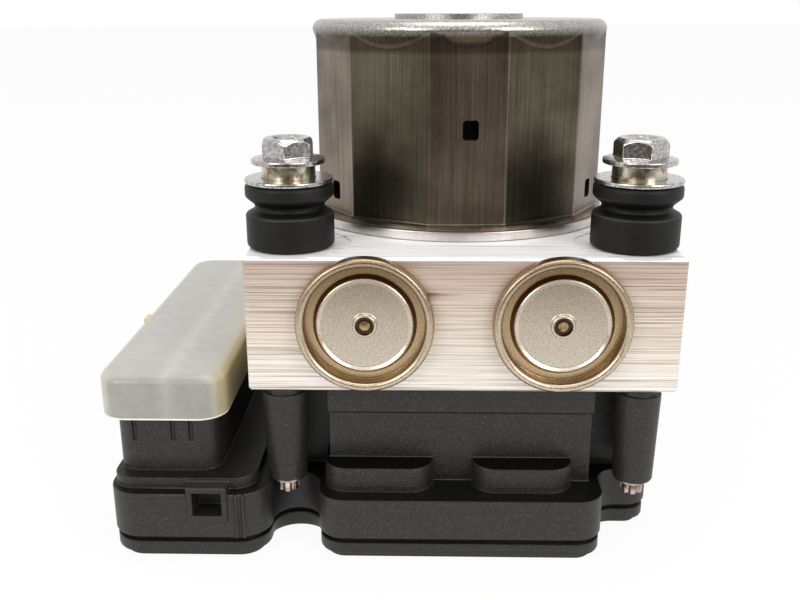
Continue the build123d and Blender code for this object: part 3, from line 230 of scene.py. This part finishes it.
def drawn_steel():
    """Deep-drawn steel with a thin dark oxide; painted reflection makes the narrow facets brownish and the wide
    ones greenish, with painted highlights on the creases and fade curves and painted shade on the narrow facets'
    tops.
    """
    made, tree, skin, place = material("drawn_steel", {"Metallic": 1.0})
    turn = add(tree, "TexGradient", {"Vector": place}, gradient_type="RADIAL")
    pairs = 360 / FACET_PAIR
    part = add(tree, "Math", {0: turn.outputs["Fac"], 1: pairs, 2: 0.5 - pairs / 2 - FACET_PLACE / FACET_PAIR},
               operation="MULTIPLY_ADD")
    facet = add(tree, "Math", {0: part.outputs[0]}, operation="FRACT")
    first = 0.5 - NARROW_FACET / FACET_PAIR / 2
    # Painted reflection: narrow facets lighter and brownish, wide ones darker and greenish; a painted highlight on
    # each crease.
    facet_and_crease_light = add(tree, "ValToRGB", {"Fac": facet.outputs[0]},
               stops=[(0.0, "#6E6A5D"), (1.0, "#6E6A5D"), (first - CREASE, "#6C685A"), (first, "#958C80"),
                      (first + CREASE, "#8E8176"), (0.5, "#9A8D80"), (1 - first - CREASE, "#8E8176"),
                      (1 - first, "#A59C90"), (1 - first + CREASE, "#6C685A")])
    draw = add(tree, "Mapping", {"Vector": place, "Scale": (1 / STREAK, 1 / STREAK, 1 / STREAK_LENGTH)})
    streaks = add(tree, "TexNoise", {"Vector": draw.outputs[0], "Scale": 1.0, "Detail": 4.0, "Roughness": 0.6})
    lines = add(tree, "ValToRGB", {"Fac": streaks.outputs["Fac"]},
                stops=[(0.3, "#A9A098"), (0.5, "#DFDAD5"), (0.68, "#FFFFFF")])
    wall = add(tree, "Mix", {0: 0.7, 6: facet_and_crease_light.outputs[0], 7: lines.outputs[0]}, data_type="RGBA",
               blend_type="MULTIPLY")
    patch = add(tree, "TexNoise", {"Vector": place, "Scale": 1 / CAN_PATCH, "Detail": 4.0})
    worn = add(tree, "ValToRGB", {"Fac": patch.outputs["Fac"]},
               stops=[(0.32, "#A6A19B"), (0.5, "#DEDBD8"), (0.68, "#FFFFFF")])
    aged = add(tree, "Mix", {0: 0.8, 6: wall.outputs[2], 7: worn.outputs[0]}, data_type="RGBA",
               blend_type="MULTIPLY")
    height = add(tree, "SeparateXYZ", {"Vector": place})
    share = add(tree, "MapRange", {"Value": height.outputs["Z"], "From Min": can_top - DRAW_BAND,
                                   "From Max": can_top - DRAW_BAND + DRAW_FADE})
    ring = add(tree, "ValToRGB", {"Fac": share.outputs[0]}, stops=[(0.2, "#FFFFFF"), (0.7, "#C2BCB6")])
    banded = add(tree, "Mix", {0: 1.0, 6: aged.outputs[2], 7: ring.outputs[0]}, data_type="RGBA",
                 blend_type="MULTIPLY")
    # Painted highlight: a light line along the curve where a wide facet fades into the crown.
    back = add(tree, "Math", {0: 1.0, 1: facet.outputs[0]}, operation="SUBTRACT")
    aside = add(tree, "Math", {0: facet.outputs[0], 1: back.outputs[0]}, operation="MINIMUM")
    bowed = add(tree, "Math", {0: aside.outputs[0], 1: 2.0}, operation="POWER")
    fade = add(tree, "Math", {0: bowed.outputs[0], 1: -SMILE_RISE / first ** 2, 2: height.outputs["Z"]},
               operation="MULTIPLY_ADD")
    above = add(tree, "MapRange", {"Value": fade.outputs[0], "From Min": SMILE_FOOT - SMILE_LINE,
                                   "From Max": SMILE_FOOT + SMILE_LINE})
    smile_highlight = add(tree, "ValToRGB", {"Fac": above.outputs[0]},
                stops=[(0.0, "#000000"), (0.45, "#6E6E6E"), (1.0, "#000000")])
    marked = add(tree, "Mix", {0: smile_highlight.outputs[0], 6: banded.outputs[2], 7: "#A39B8D"}, data_type="RGBA")
    # Painted shade over the top of each narrow facet, above its fade curve.
    centred = add(tree, "Math", {0: facet.outputs[0], 1: 0.5}, operation="SUBTRACT")
    square = add(tree, "Math", {0: centred.outputs[0], 1: 2.0}, operation="POWER")
    lens = add(tree, "Math", {0: square.outputs[0], 1: -SMILE_RISE / (0.5 - first) ** 2,
                              2: height.outputs["Z"]}, operation="MULTIPLY_ADD")
    within = add(tree, "Math", {0: lens.outputs[0], 1: LENS_FOOT}, operation="GREATER_THAN")
    lens_shade = add(tree, "Math", {0: within.outputs[0], 1: LENS_SHADE}, operation="MULTIPLY")
    lens_shaded = add(tree, "Mix", {0: lens_shade.outputs[0], 6: marked.outputs[2], 7: "#3A332D"}, data_type="RGBA")
    grain = add(tree, "TexNoise", {"Vector": place, "Scale": 1 / CAN_GRAIN, "Detail": 4.0, "Roughness": 0.6})
    crown = add(tree, "ValToRGB", {"Fac": grain.outputs["Fac"]},
                stops=[(0.32, "#86827B"), (0.5, "#A8A59F"), (0.66, "#C8C6C1")])
    ragged = add(tree, "Math", {0: grain.outputs["Fac"], 1: CROWN_RAGGED, 2: height.outputs["Z"]},
                 operation="MULTIPLY_ADD")
    upper = add(tree, "MapRange", {"Value": ragged.outputs[0], "From Min": can_top - CROWN_FROM,
                                   "From Max": can_top - CROWN_TO})
    colour = add(tree, "Mix", {0: upper.outputs[0], 6: lens_shaded.outputs[2], 7: crown.outputs[0]},
                 data_type="RGBA")
    bump = add(tree, "Bump", {"Strength": 0.15, "Distance": 0.05 * MM, "Height": streaks.outputs["Fac"]})
    rough = add(tree, "MapRange", {"Value": grain.outputs["Fac"], "To Min": 0.24, "To Max": 0.4})
    tree.links.new(colour.outputs[2], skin.inputs["Base Color"])
    tree.links.new(rough.outputs[0], skin.inputs["Roughness"])
    tree.links.new(bump.outputs[0], skin.inputs["Normal"])
    return made


HOLES_LOW = 72 * MM             # every vertex between these two is on a hole's rim
HOLES_HIGH = 97 * MM
HOLE_DROP = 2.5 * MM
HOLE_TURN = 1.0                 # degrees


def settle_holes(shape):
    """Punched holes sit a little lower and further round than in the CAD form."""
    rims = [vert for vert in shape.verts if HOLES_LOW < vert.co.z < HOLES_HIGH]
    bmesh.ops.translate(shape, verts=rims, vec=(0, 0, -HOLE_DROP))
    bmesh.ops.rotate(shape, verts=rims, cent=(0, 0, 0), matrix=Matrix.Rotation(radians(HOLE_TURN), 3, "Z"))


can = softened("motor_can", 0.4 * MM, drawn_steel(), angle=14, shortest=8 * MM, reshape=settle_holes)

# Rubber isolators: moulded grommets with a neck for the bracket, black and slightly dusty.
# Mould flash leaves a faint ring, the edges are rubbed a little grey, and the neck is painted near black as
# painted shade.
RUBBER_GRAIN = 0.25 * MM
RUBBER_DUST = 150.0             # to a metre
grommet_low, grommet_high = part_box("grommet_left")


def moulded_rubber():
    """EPDM rubber: near black, soft sheen, fine grain, and painted shade in the neck."""
    made, tree, skin, place = material("moulded_rubber", {"Roughness": 0.5, "Specular IOR Level": 0.25})
    grain = add(tree, "TexNoise", {"Vector": place, "Scale": 1 / RUBBER_GRAIN, "Detail": 3.0})
    dust = add(tree, "TexNoise", {"Vector": place, "Scale": RUBBER_DUST, "Detail": 5.0})
    tone = add(tree, "ValToRGB", {"Fac": dust.outputs["Fac"]},
               stops=[(0.35, "#8C8C8A"), (0.55, "#B8B8B4"), (0.75, "#FFFFFF")])
    height = add(tree, "SeparateXYZ", {"Vector": place})
    level = add(tree, "MapRange", {"Value": height.outputs["Z"], "From Min": grommet_low.z,
                                   "From Max": grommet_high.z})
    # Darker in the neck between the flanges: painted shade.
    flash_ring_and_neck_shade = add(tree, "ValToRGB", {"Fac": level.outputs[0]},
                 stops=[(0.0, "#1C1B18"), (1.0, "#1F1E1B"), (0.505, "#1C1B18"), (0.522, "#4A4843"),
                        (0.545, "#080706"), (0.77, "#080706"), (0.8, "#1F1E1B")])
    dusty = add(tree, "Mix", {0: 1.0, 6: flash_ring_and_neck_shade.outputs[0], 7: tone.outputs[0]}, data_type="RGBA",
                blend_type="MULTIPLY")
    bump = add(tree, "Bump", {"Strength": 0.3, "Distance": 0.04 * MM, "Height": grain.outputs["Fac"]})
    tree.links.new(dusty.outputs[2], skin.inputs["Base Color"])
    tree.links.new(bump.outputs[0], skin.inputs["Normal"])
    return made


rubber = moulded_rubber()
for node in ("grommet_left", "grommet_right"):
    softened(node, 0.35 * MM, rubber, angle=25)

# Washers, flange bolts and spacer sleeves of the isolators: bright zinc, and yellow chromate on the sleeves.
# Zinc shows soft crystal patches, and chromate shifts between yellow-green and orange-brown.
ZINC_GRAIN = 0.7 * MM
CHROMATE_STAINS = 320.0         # to a metre


def bright_zinc():
    """Electroplated zinc on steel: bluish white with soft patches."""
    made, tree, skin, place = material("bright_zinc", {"Metallic": 1.0})
    patch = add(tree, "TexNoise", {"Vector": place, "Scale": 1 / ZINC_GRAIN, "Detail": 6.0, "Roughness": 0.6})
    tone = add(tree, "ValToRGB", {"Fac": patch.outputs["Fac"]},
               stops=[(0.35, "#8E8A8A"), (0.5, "#B3AFAD"), (0.65, "#D2CFCB")])
    rough = add(tree, "MapRange", {"Value": patch.outputs["Fac"], "To Min": 0.12, "To Max": 0.32})
    tree.links.new(tone.outputs[0], skin.inputs["Base Color"])
    tree.links.new(rough.outputs[0], skin.inputs["Roughness"])
    return made


zinc = bright_zinc()
chromate = speckled("yellow_chromate", {"Metallic": 1.0, "Roughness": 0.25}, CHROMATE_STAINS, 4.0,
                    [(0.3, "#735A45"), (0.45, "#A89880"), (0.55, "#CDC9B4"), (0.7, "#BAC2B0")], distortion=0.6)
softened("grommet_washers", 0.25 * MM, zinc)
softened("mounting_bolts", 0.2 * MM, zinc, angle=25)
softened("spacer_sleeves", 0.2 * MM, chromate)

# Accumulator caps: pressed steel, yellow passivated, with a rolled bead, a deep groove and a speckled disc.
# A brass pin stands in each vent.
left_low, left_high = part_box("accumulator_cap_left")
CAP_X = -(left_low.x + left_high.x) / 2
CAP_Z = (left_low.z + left_high.z) / 2
VENT = 1.9 * MM                 # this and the next six are radii on the cap
VENT_LIP = 2.8 * MM
DISC = 9.2 * MM
RIM = 9.9 * MM
GROOVE = 10.6 * MM
BEAD = 12.4 * MM
EDGE = 14.3 * MM
SPECKLE = 0.35 * MM
FLOOR_LIFT = 0.3 * MM
FOOT_WIDTH = 0.2 * MM           # round the radii of the floor's two edges
TOUCH = 0.01 * MM
BRASS_TARNISH = 900.0           # to a metre


def passivated_cap():
    """Pressed steel, yellow passivated: greyish speckled disc and tan groove, painted highlights on the vent lip,
    rim and bead, painted shade in the vent, on the groove's inner wall and towards the top.
    """
    made, tree, skin, place = material("passivated_cap", {"Metallic": 1.0})
    both = add(tree, "VectorMath", {0: place}, operation="ABSOLUTE")
    off = add(tree, "VectorMath", {0: both.outputs[0], 1: (CAP_X, 0, CAP_Z)}, operation="SUBTRACT")
    flat = add(tree, "VectorMath", {0: off.outputs[0], 1: (1, 0, 1)}, operation="MULTIPLY")
    radius = add(tree, "VectorMath", {0: flat.outputs[0]}, operation="LENGTH")
    share = add(tree, "Math", {0: radius.outputs["Value"], 1: EDGE}, operation="DIVIDE")
    # Tones by radius, with painted highlights on the vent lip, rim and bead, and painted shade in the vent and on
    # the groove's inner wall.
    zone_tones_and_light = add(tree, "ValToRGB", {"Fac": share.outputs[0]},
                stops=[(0.0, "#4E3C28"), (1.0, "#C3A98F"), (VENT / EDGE, "#5C4934"),
                       (VENT / EDGE + 0.01, "#F6EFE4"), (VENT_LIP / EDGE, "#E9E0D3"),
                       (VENT_LIP / EDGE + 0.02, "#E6DBCD"), (DISC / EDGE - 0.02, "#E6DBCD"),
                       (DISC / EDGE, "#F4ECDF"), (RIM / EDGE, "#EADFCF"), (RIM / EDGE + 0.02, "#AD977F"),
                       (GROOVE / EDGE, "#B39A79"),
                       (GROOVE / EDGE + 0.02, "#D2BA95"), (BEAD / EDGE - 0.02, "#CDB48F"),
                       (BEAD / EDGE, "#B39C80"), (BEAD / EDGE + 0.05, "#ECE0CB")])
    height = add(tree, "SeparateXYZ", {"Vector": place})
    # Painted shade: the cap darkens towards its top.
    raised = add(tree, "MapRange", {"Value": height.outputs["Z"], "From Min": CAP_Z - EDGE,
                                    "From Max": CAP_Z + EDGE})
    shade = add(tree, "ValToRGB", {"Fac": raised.outputs[0]},
                stops=[(0.15, "#FFFFFF"), (0.5, "#F3F1EE"), (0.85, "#CDC7BF")])
    shaded = add(tree, "Mix", {0: 1.0, 6: zone_tones_and_light.outputs[0], 7: shade.outputs[0]}, data_type="RGBA",
                 blend_type="MULTIPLY")
    speck = add(tree, "TexNoise", {"Vector": place, "Scale": 1 / SPECKLE, "Detail": 5.0, "Roughness": 0.7})
    spots = add(tree, "ValToRGB", {"Fac": speck.outputs["Fac"]},
                stops=[(0.3, "#B5ACA1"), (0.5, "#EBE7E2"), (0.62, "#FFFFFF")])
    colour = add(tree, "Mix", {0: 0.8, 6: shaded.outputs[2], 7: spots.outputs[0]}, data_type="RGBA",
                 blend_type="MULTIPLY")
    bump = add(tree, "Bump", {"Strength": 0.25, "Distance": 0.04 * MM, "Height": speck.outputs["Fac"]})
    rough = add(tree, "MapRange", {"Value": speck.outputs["Fac"], "To Min": 0.2, "To Max": 0.38})
    tree.links.new(colour.outputs[2], skin.inputs["Base Color"])
    tree.links.new(rough.outputs[0], skin.inputs["Roughness"])
    tree.links.new(bump.outputs[0], skin.inputs["Normal"])
    return made


cap_finish = passivated_cap()
brass = speckled("drawn_brass", {"Metallic": 1.0, "Roughness": 0.3}, BRASS_TARNISH, 3.0,
                 [(0.35, "#7D6345"), (0.65, "#CDB388")])


def lift_floor(shape):
    """The groove's floor stands just clear of the block's face."""
    floor_ring = []
    for vert in shape.verts:
        away = Vector((abs(vert.co.x) - CAP_X, vert.co.z - CAP_Z)).length
        on_foot = min(abs(away - GROOVE), abs(away - BEAD)) < FOOT_WIDTH
        if on_foot and abs(vert.co.y - block_low.y) < TOUCH:
            floor_ring.append(vert)
    bmesh.ops.translate(shape, verts=floor_ring, vec=(0, -FLOOR_LIFT, 0))


for node in ("accumulator_cap_left", "accumulator_cap_right"):
    softened(node, 0.15 * MM, cap_finish, angle=28, reshape=lift_floor)
for node in ("vent_pin_left", "vent_pin_right"):
    softened(node, 0.2 * MM, brass)

# Control unit: glass-filled polyester housing and cover, satin black with a fine spark-eroded grain.
# The edges catch a thin light line, flow marks run level along the cover, and the shelf tops are painted near
# black as painted shade.
PLASTIC_GRAIN = 0.35 * MM
FLOW_MARK = 0.9 * MM
FLOW_STRETCH = 60               # times as long as it is wide
# Shelf tops at these heights get painted shade and less specular.
SHADED_SHELVES = ((14.8 * MM, 0.8), (15.9 * MM, 0.85), (18.4 * MM, 0.6), (20.4 * MM, 1.0))  # height, how dark
SHELF_BAND = 0.03 * MM


def filled_polyester(name, flow):
    """PBT with glass fibre: near-black satin, speckled where fibres meet the surface, with painted shade on the
    shelf tops.
    """
    made, tree, skin, place = material(name, {})
    grain = add(tree, "TexNoise", {"Vector": place, "Scale": 1 / PLASTIC_GRAIN, "Detail": 4.0, "Roughness": 0.7})
    tone = add(tree, "ValToRGB", {"Fac": grain.outputs["Fac"]},
               stops=[(0.35, "#141312"), (0.54, "#201F1D"), (0.68, "#46423E")])
    length = FLOW_STRETCH * FLOW_MARK
    level = add(tree, "Mapping", {"Vector": place, "Scale": (1 / length, 1 / length, 1 / FLOW_MARK)})
    marks = add(tree, "TexNoise", {"Vector": level.outputs[0], "Scale": 1.0, "Detail": 3.0})
    streak = add(tree, "ValToRGB", {"Fac": marks.outputs["Fac"]}, stops=[(0.4, "#B9B4B0"), (0.62, "#FFFFFF")])
    colour = add(tree, "Mix", {0: flow, 6: tone.outputs[0], 7: streak.outputs[0]}, data_type="RGBA",
                 blend_type="MULTIPLY")
    height = add(tree, "SeparateXYZ", {"Vector": place})
    # Painted shade: the shelf tops turn near black.
    shelf_shade = 0.0
    for step, share in SHADED_SHELVES:
        hit = add(tree, "Math", {0: height.outputs["Z"], 1: step, 2: SHELF_BAND}, operation="COMPARE")
        shelf_shade = add(tree, "Math", {0: hit.outputs[0], 1: share, 2: shelf_shade}, operation="MULTIPLY_ADD").outputs[0]
    shaded = add(tree, "Mix", {0: shelf_shade, 6: colour.outputs[2], 7: "#050505"}, data_type="RGBA")
    gloss = add(tree, "MapRange", {"Value": shelf_shade, "To Min": 0.5, "To Max": 0.12})
    bump = add(tree, "Bump", {"Strength": 0.35, "Distance": 0.04 * MM, "Height": grain.outputs["Fac"]})
    rough = add(tree, "MapRange", {"Value": grain.outputs["Fac"], "To Min": 0.34, "To Max": 0.55})
    tree.links.new(gloss.outputs[0], skin.inputs["Specular IOR Level"])
    tree.links.new(shaded.outputs[2], skin.inputs["Base Color"])
    tree.links.new(rough.outputs[0], skin.inputs["Roughness"])
    tree.links.new(bump.outputs[0], skin.inputs["Normal"])
    return made


housing = softened("control_unit_housing", 0.3 * MM, filled_polyester("housing_plastic", 0.3))
cover = softened("control_unit_cover", 0.35 * MM, filled_polyester("cover_plastic", 0.9))

# Control unit screws: zinc-coated steel with a wide flange under a six-lobe head.
# The flanges show as thin pinkish rims at the pillars' feet. The block's plugs are coated alike.
SCREW_PATCHES = 500.0           # to a metre
screw_finish = speckled("zinc_screw", {"Metallic": 1.0, "Roughness": 0.3}, SCREW_PATCHES, 4.0,
                        [(0.35, "#7F7068"), (0.52, "#B9A79C"), (0.65, "#E6D7CC")])
softened("control_unit_screws", 0.12 * MM, screw_finish, angle=25)
for node in ("ball_plugs", "pump_plugs"):
    softened(node, 0.25 * MM, screw_finish)

# Transport cap: soft polyethylene pushed over the connector's collar, milky and slightly see-through.
# Its side edges are painted amber as a painted glow, a painted light line runs along its roof, and its lower rim
# carries a painted highlight.
cap_low, cap_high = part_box("connector_cap")
MILKY = 3.2 * MM
SKIN_GRAIN = 1800.0             # to a metre
FRONT_SKIN = 1.5 * MM           # depth over which the greyer front wall shows
# height of the painted highlight along the lower rim
LOWER_RIM = 0.5 * MM


def milky_polyethylene():
    """Low-density polyethylene with some light scattering inside it; its amber edges are a painted glow, its roof
    line and lower rim painted highlights, and the middle stays grey.
    """
    made, tree, skin, place = material("milky_polyethylene", {
        "Roughness": 0.3, "IOR": 1.51, "Subsurface Weight": 0.35, "Subsurface Scale": 2 * MM,
        "Subsurface Radius": (1.0, 0.85, 0.6)})
    cloud = add(tree, "TexNoise", {"Vector": place, "Scale": 1 / MILKY, "Detail": 6.0, "Roughness": 0.65})
    grain = add(tree, "TexNoise", {"Vector": place, "Scale": SKIN_GRAIN, "Detail": 2.0})
    tone = add(tree, "ValToRGB", {"Fac": cloud.outputs["Fac"]},
               stops=[(0.3, "#EFEEEC"), (0.7, "#FFFFFF")])
    where = add(tree, "SeparateXYZ", {"Vector": place})
    across = add(tree, "MapRange", {"Value": where.outputs["X"], "From Min": cap_low.x, "From Max": cap_high.x})
    # Painted glow: amber at both sides; painted highlight: a light line along the roof.
    wall = add(tree, "ValToRGB", {"Fac": across.outputs[0]},
               stops=[(0.0, "#DCCA98"), (1.0, "#BDB086"), (0.12, "#BDBBB4"), (0.48, "#B6B5B1"),
                      (0.58, "#C2C1BD"), (0.68, "#B6B5B1"), (0.88, "#B8B6AE")])
    depth = add(tree, "MapRange", {"Value": where.outputs["Y"], "From Min": cap_low.y,
                                   "From Max": cap_low.y + FRONT_SKIN})
    front = add(tree, "ValToRGB", {"Fac": depth.outputs[0]}, stops=[(0.4, "#DCDCDC"), (1.0, "#FFFFFF")])
    faced = add(tree, "Mix", {0: 1.0, 6: wall.outputs[0], 7: front.outputs[0]}, data_type="RGBA",
                blend_type="MULTIPLY")
    # Painted highlight: the lower rim is near white.
    low = add(tree, "Math", {0: where.outputs["Z"], 1: cap_low.z + LOWER_RIM}, operation="LESS_THAN")
    rim_highlighted = add(tree, "Mix", {0: low.outputs[0], 6: faced.outputs[2], 7: "#FBF3DD"}, data_type="RGBA")
    clouded = add(tree, "Mix", {0: 1.0, 6: rim_highlighted.outputs[2], 7: tone.outputs[0]}, data_type="RGBA",
                  blend_type="MULTIPLY")
    bump = add(tree, "Bump", {"Strength": 0.25, "Distance": 0.05 * MM, "Height": grain.outputs["Fac"]})
    tree.links.new(clouded.outputs[2], skin.inputs["Base Color"])
    tree.links.new(bump.outputs[0], skin.inputs["Normal"])
    return made


cap = softened("connector_cap", 0.3 * MM, milky_polyethylene(), body="transport_cap")

# Pieces inside: motor, pump, valves, accumulators and electronics, each in the finish of its trade.
# They show only through the ports and holes, so their CAD forms are kept.


def workshop_metal(name, dark, light, grain, roughness):
    """Ground, drawn or stamped metal with its own two tones."""
    return speckled(name, {"Metallic": 1.0, "Roughness": roughness}, 1 / grain, 4.0, [(0.35, dark), (0.65, light)])


def dull_matter(name, dark, light, grain):
    """Sintered, moulded or lacquered matter with its own two tones."""
    return speckled(name, {"Roughness": 0.6}, 1 / grain, 4.0, [(0.35, dark), (0.65, light)])


ground = workshop_metal("ground_steel", "#8E8E8E", "#C4C4C2", 0.6 * MM, 0.25)
wire = workshop_metal("spring_wire", "#6B6A68", "#A5A4A0", 0.4 * MM, 0.35)
copper = workshop_metal("enamelled_copper", "#8A4A28", "#C98556", 0.8 * MM, 0.3)
turned_aluminium = workshop_metal("turned_aluminium", "#A9A9A7", "#D2D2D0", 0.5 * MM, 0.3)
laminations = workshop_metal("stacked_laminations", "#3A3A3A", "#5E5D5B", 0.5 * MM, 0.5)
ferrite = dull_matter("sintered_ferrite", "#232325", "#333336", 0.6 * MM)
moulding = dull_matter("black_moulding", "#1D1C1B", "#2B2A28", 0.5 * MM)
laminate = dull_matter("board_laminate", "#14402A", "#1D5A3A", 0.7 * MM)
inside = {
    "motor_shaft": ground, "eccentric_ring": ground, "lower_bearing": ground, "upper_bearing": ground,
    "pump_piston_left": ground, "pump_piston_right": ground, "inlet_valves": ground, "outlet_valves": ground,
    "armature_windings": copper, "commutator": copper, "valve_coils": copper,
    "accumulator_piston_left": turned_aluminium,
    "accumulator_piston_right": turned_aluminium, "armature_core": laminations, "field_magnets": ferrite,
    "carbon_brushes": moulding, "brush_plate": moulding, "motor_contact_post": moulding,
    "circuit_board": laminate, "contact_pins": brass, "cover_seal": rubber,
    "accumulator_seal_left": rubber, "accumulator_seal_right": rubber,
}
for index in range(1, 5):
    inside[f"inlet_plunger_{index}"] = ground
    inside[f"outlet_plunger_{index}"] = ground
for node, finish in inside.items():
    cad[node].data.materials.clear()
    cad[node].data.materials.append(finish)

# Return springs: coiled from round wire, closed at both ends. One end bears on the cap or plug, the other on the
# piston.
# Each is finished in wire on a mesh of its own.
CAP_STROKE = 8 * MM
PUMP_STROKE = 2 * MM
springs = (("accumulator_spring_left", "accumulator_left_slide", 1, 0, CAP_STROKE),
           ("accumulator_spring_right", "accumulator_right_slide", 1, 0, CAP_STROKE),
           ("pump_spring_left", "pump_left_stroke", 0, 0, PUMP_STROKE),
           ("pump_spring_right", "pump_right_stroke", 0, 1, PUMP_STROKE))
for node, joint, axis, outer_end, stroke in springs:
    coil_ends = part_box(node)
    anchor = (coil_ends[0] + coil_ends[1]) / 2
    anchor[axis] = coil_ends[outer_end][axis]
    spring = softened(node, 0, wire)
    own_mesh(spring)

# Studio: a pale floor under soft lamps. The floor looks white to the camera and in reflections, and keeps
# part of the shadow. The lamps are a large one overhead and two at the front.
FLOOR_SIZE = 6.0
SHADOW_KEPT = 0.06
PAPER_GRAIN = 30.0              # to a metre


def studio_floor():
    """White floor: part of it glows for the camera, so that only the deeper shadows show."""
    made, tree, skin, place = material("studio_floor", {"Roughness": 0.9})
    paper = add(tree, "TexNoise", {"Vector": place, "Scale": PAPER_GRAIN, "Detail": 2.0})
    tone = add(tree, "ValToRGB", {"Fac": paper.outputs["Fac"]}, stops=[(0.3, "#F1F1F0"), (0.7, "#F5F5F4")])
    tree.links.new(tone.outputs[0], skin.inputs["Base Color"])
    glow = add(tree, "Emission", {"Color": "#FFFFFF", "Strength": 1.0})
    path = add(tree, "LightPath")
    seen = add(tree, "Math", {0: path.outputs["Is Camera Ray"], 1: path.outputs["Is Glossy Ray"]},
               operation="MAXIMUM")
    share = add(tree, "Math", {0: seen.outputs[0], 1: 1 - SHADOW_KEPT}, operation="MULTIPLY")
    both = add(tree, "MixShader", {0: share.outputs[0], 1: skin.outputs[0], 2: glow.outputs[0]})
    surface = next(node for node in tree.nodes if node.type == "OUTPUT_MATERIAL")
    tree.links.new(both.outputs[0], surface.inputs["Surface"])
    return made


shape = bmesh.new()
bmesh.ops.create_grid(shape, x_segments=1, y_segments=1, size=FLOOR_SIZE)
floor = bpy.data.objects.new("studio_floor", bpy.data.meshes.new("studio_floor"))
shape.to_mesh(floor.data)
shape.free()
floor.data.materials.append(studio_floor())
bpy.context.scene.collection.objects.link(floor)

# A dark card stands low in front, behind the camera: polished faces that point forwards reflect it, while
# the faces beside them reflect the white room. It isn't seen itself.
CARD_NEAR = -0.30
CARD_FAR = -1.10
CARD_TOP = 0.42
CARD_HALF_WIDTH = 0.55
CARD_FOOT = 2 * MM
FELT_GRAIN = 60.0               # to a metre
felt = speckled("dark_card", {"Roughness": 0.9}, FELT_GRAIN, 3.0, [(0.3, "#463D37"), (0.7, "#544A43")])
shape = bmesh.new()
near = [shape.verts.new((x, CARD_NEAR, CARD_FOOT)) for x in (-CARD_HALF_WIDTH, CARD_HALF_WIDTH)]
edge = shape.edges.new(near)
grown = bmesh.ops.extrude_edge_only(shape, edges=[edge])
raised = [item for item in grown["geom"] if isinstance(item, bmesh.types.BMVert)]
bmesh.ops.translate(shape, verts=raised, vec=(0, CARD_FAR - CARD_NEAR, CARD_TOP))
card = bpy.data.objects.new("dark_card", bpy.data.meshes.new("dark_card"))
shape.to_mesh(card.data)
shape.free()
card.data.materials.append(felt)
card.visible_camera = False
card.visible_diffuse = False
card.visible_shadow = False
bpy.context.scene.collection.objects.link(card)

# Room and lamps: white to the camera, in polished faces and through clear ones, and half as bright for the rest.
LAMPS_AIM = (0, 0, 60 * MM)
world = bpy.data.worlds.new("studio")
bpy.context.scene.world = world
world.use_nodes = True
world.node_tree.nodes.clear()
path = add(world.node_tree, "LightPath")
direct = add(world.node_tree, "Math", {0: path.outputs["Is Camera Ray"], 1: path.outputs["Is Glossy Ray"]},
             operation="MAXIMUM")
white = add(world.node_tree, "Math", {0: direct.outputs[0], 1: path.outputs["Is Transmission Ray"]},
            operation="MAXIMUM")
strength = add(world.node_tree, "MapRange", {"Value": white.outputs[0], "To Min": 0.5, "To Max": 1.0})
sky = add(world.node_tree, "Background", {"Color": "#FFFFFF", "Strength": strength.outputs[0]})
add(world.node_tree, "OutputWorld", {"Surface": sky.outputs[0]})


def softbox(name, place, size, power):
    """Square soft lamp that faces the module."""
    lamp = bpy.data.lights.new(name, "AREA")
    lamp.size = size
    lamp.energy = power
    holder = bpy.data.objects.new(name, lamp)
    holder.location = place
    holder.rotation_euler = (Vector(LAMPS_AIM) - Vector(place)).to_track_quat("-Z", "Y").to_euler()
    bpy.context.scene.collection.objects.link(holder)


softbox("overhead", (0.0, -0.05, 0.75), 0.5, 2.2)
softbox("front_left", (-0.5, -0.6, 0.4), 0.4, 2.4)
softbox("front_right", (0.5, -0.6, 0.4), 0.4, 2.8)

# Camera: close, a little above the module, and turned slightly to its left.
FOCAL_PIXELS = 923.57
IMAGE_WIDTH = 800
SENSOR = 36.0
CAMERA_PLACE = (-9.01 * MM, -230.03 * MM, 115.09 * MM)
CAMERA_LEFT = 1.27              # degrees, as are the next two
CAMERA_DOWN = 17.587
CAMERA_ROLL = 0.134
camera = bpy.data.objects.new("camera", bpy.data.cameras.new("camera"))
camera.data.sensor_width = SENSOR
camera.data.lens = FOCAL_PIXELS / IMAGE_WIDTH * SENSOR
camera.data.clip_start = 0.01
camera.matrix_world = (Matrix.Translation(CAMERA_PLACE)
                       @ Matrix.Rotation(radians(CAMERA_LEFT), 4, "Z")
                       @ Matrix.Rotation(radians(90 - CAMERA_DOWN), 4, "X")
                       @ Matrix.Rotation(radians(-CAMERA_ROLL), 4, "Z"))
bpy.context.scene.collection.objects.link(camera)
bpy.context.scene.camera = camera
bpy.context.scene.view_settings.view_transform = "Standard"
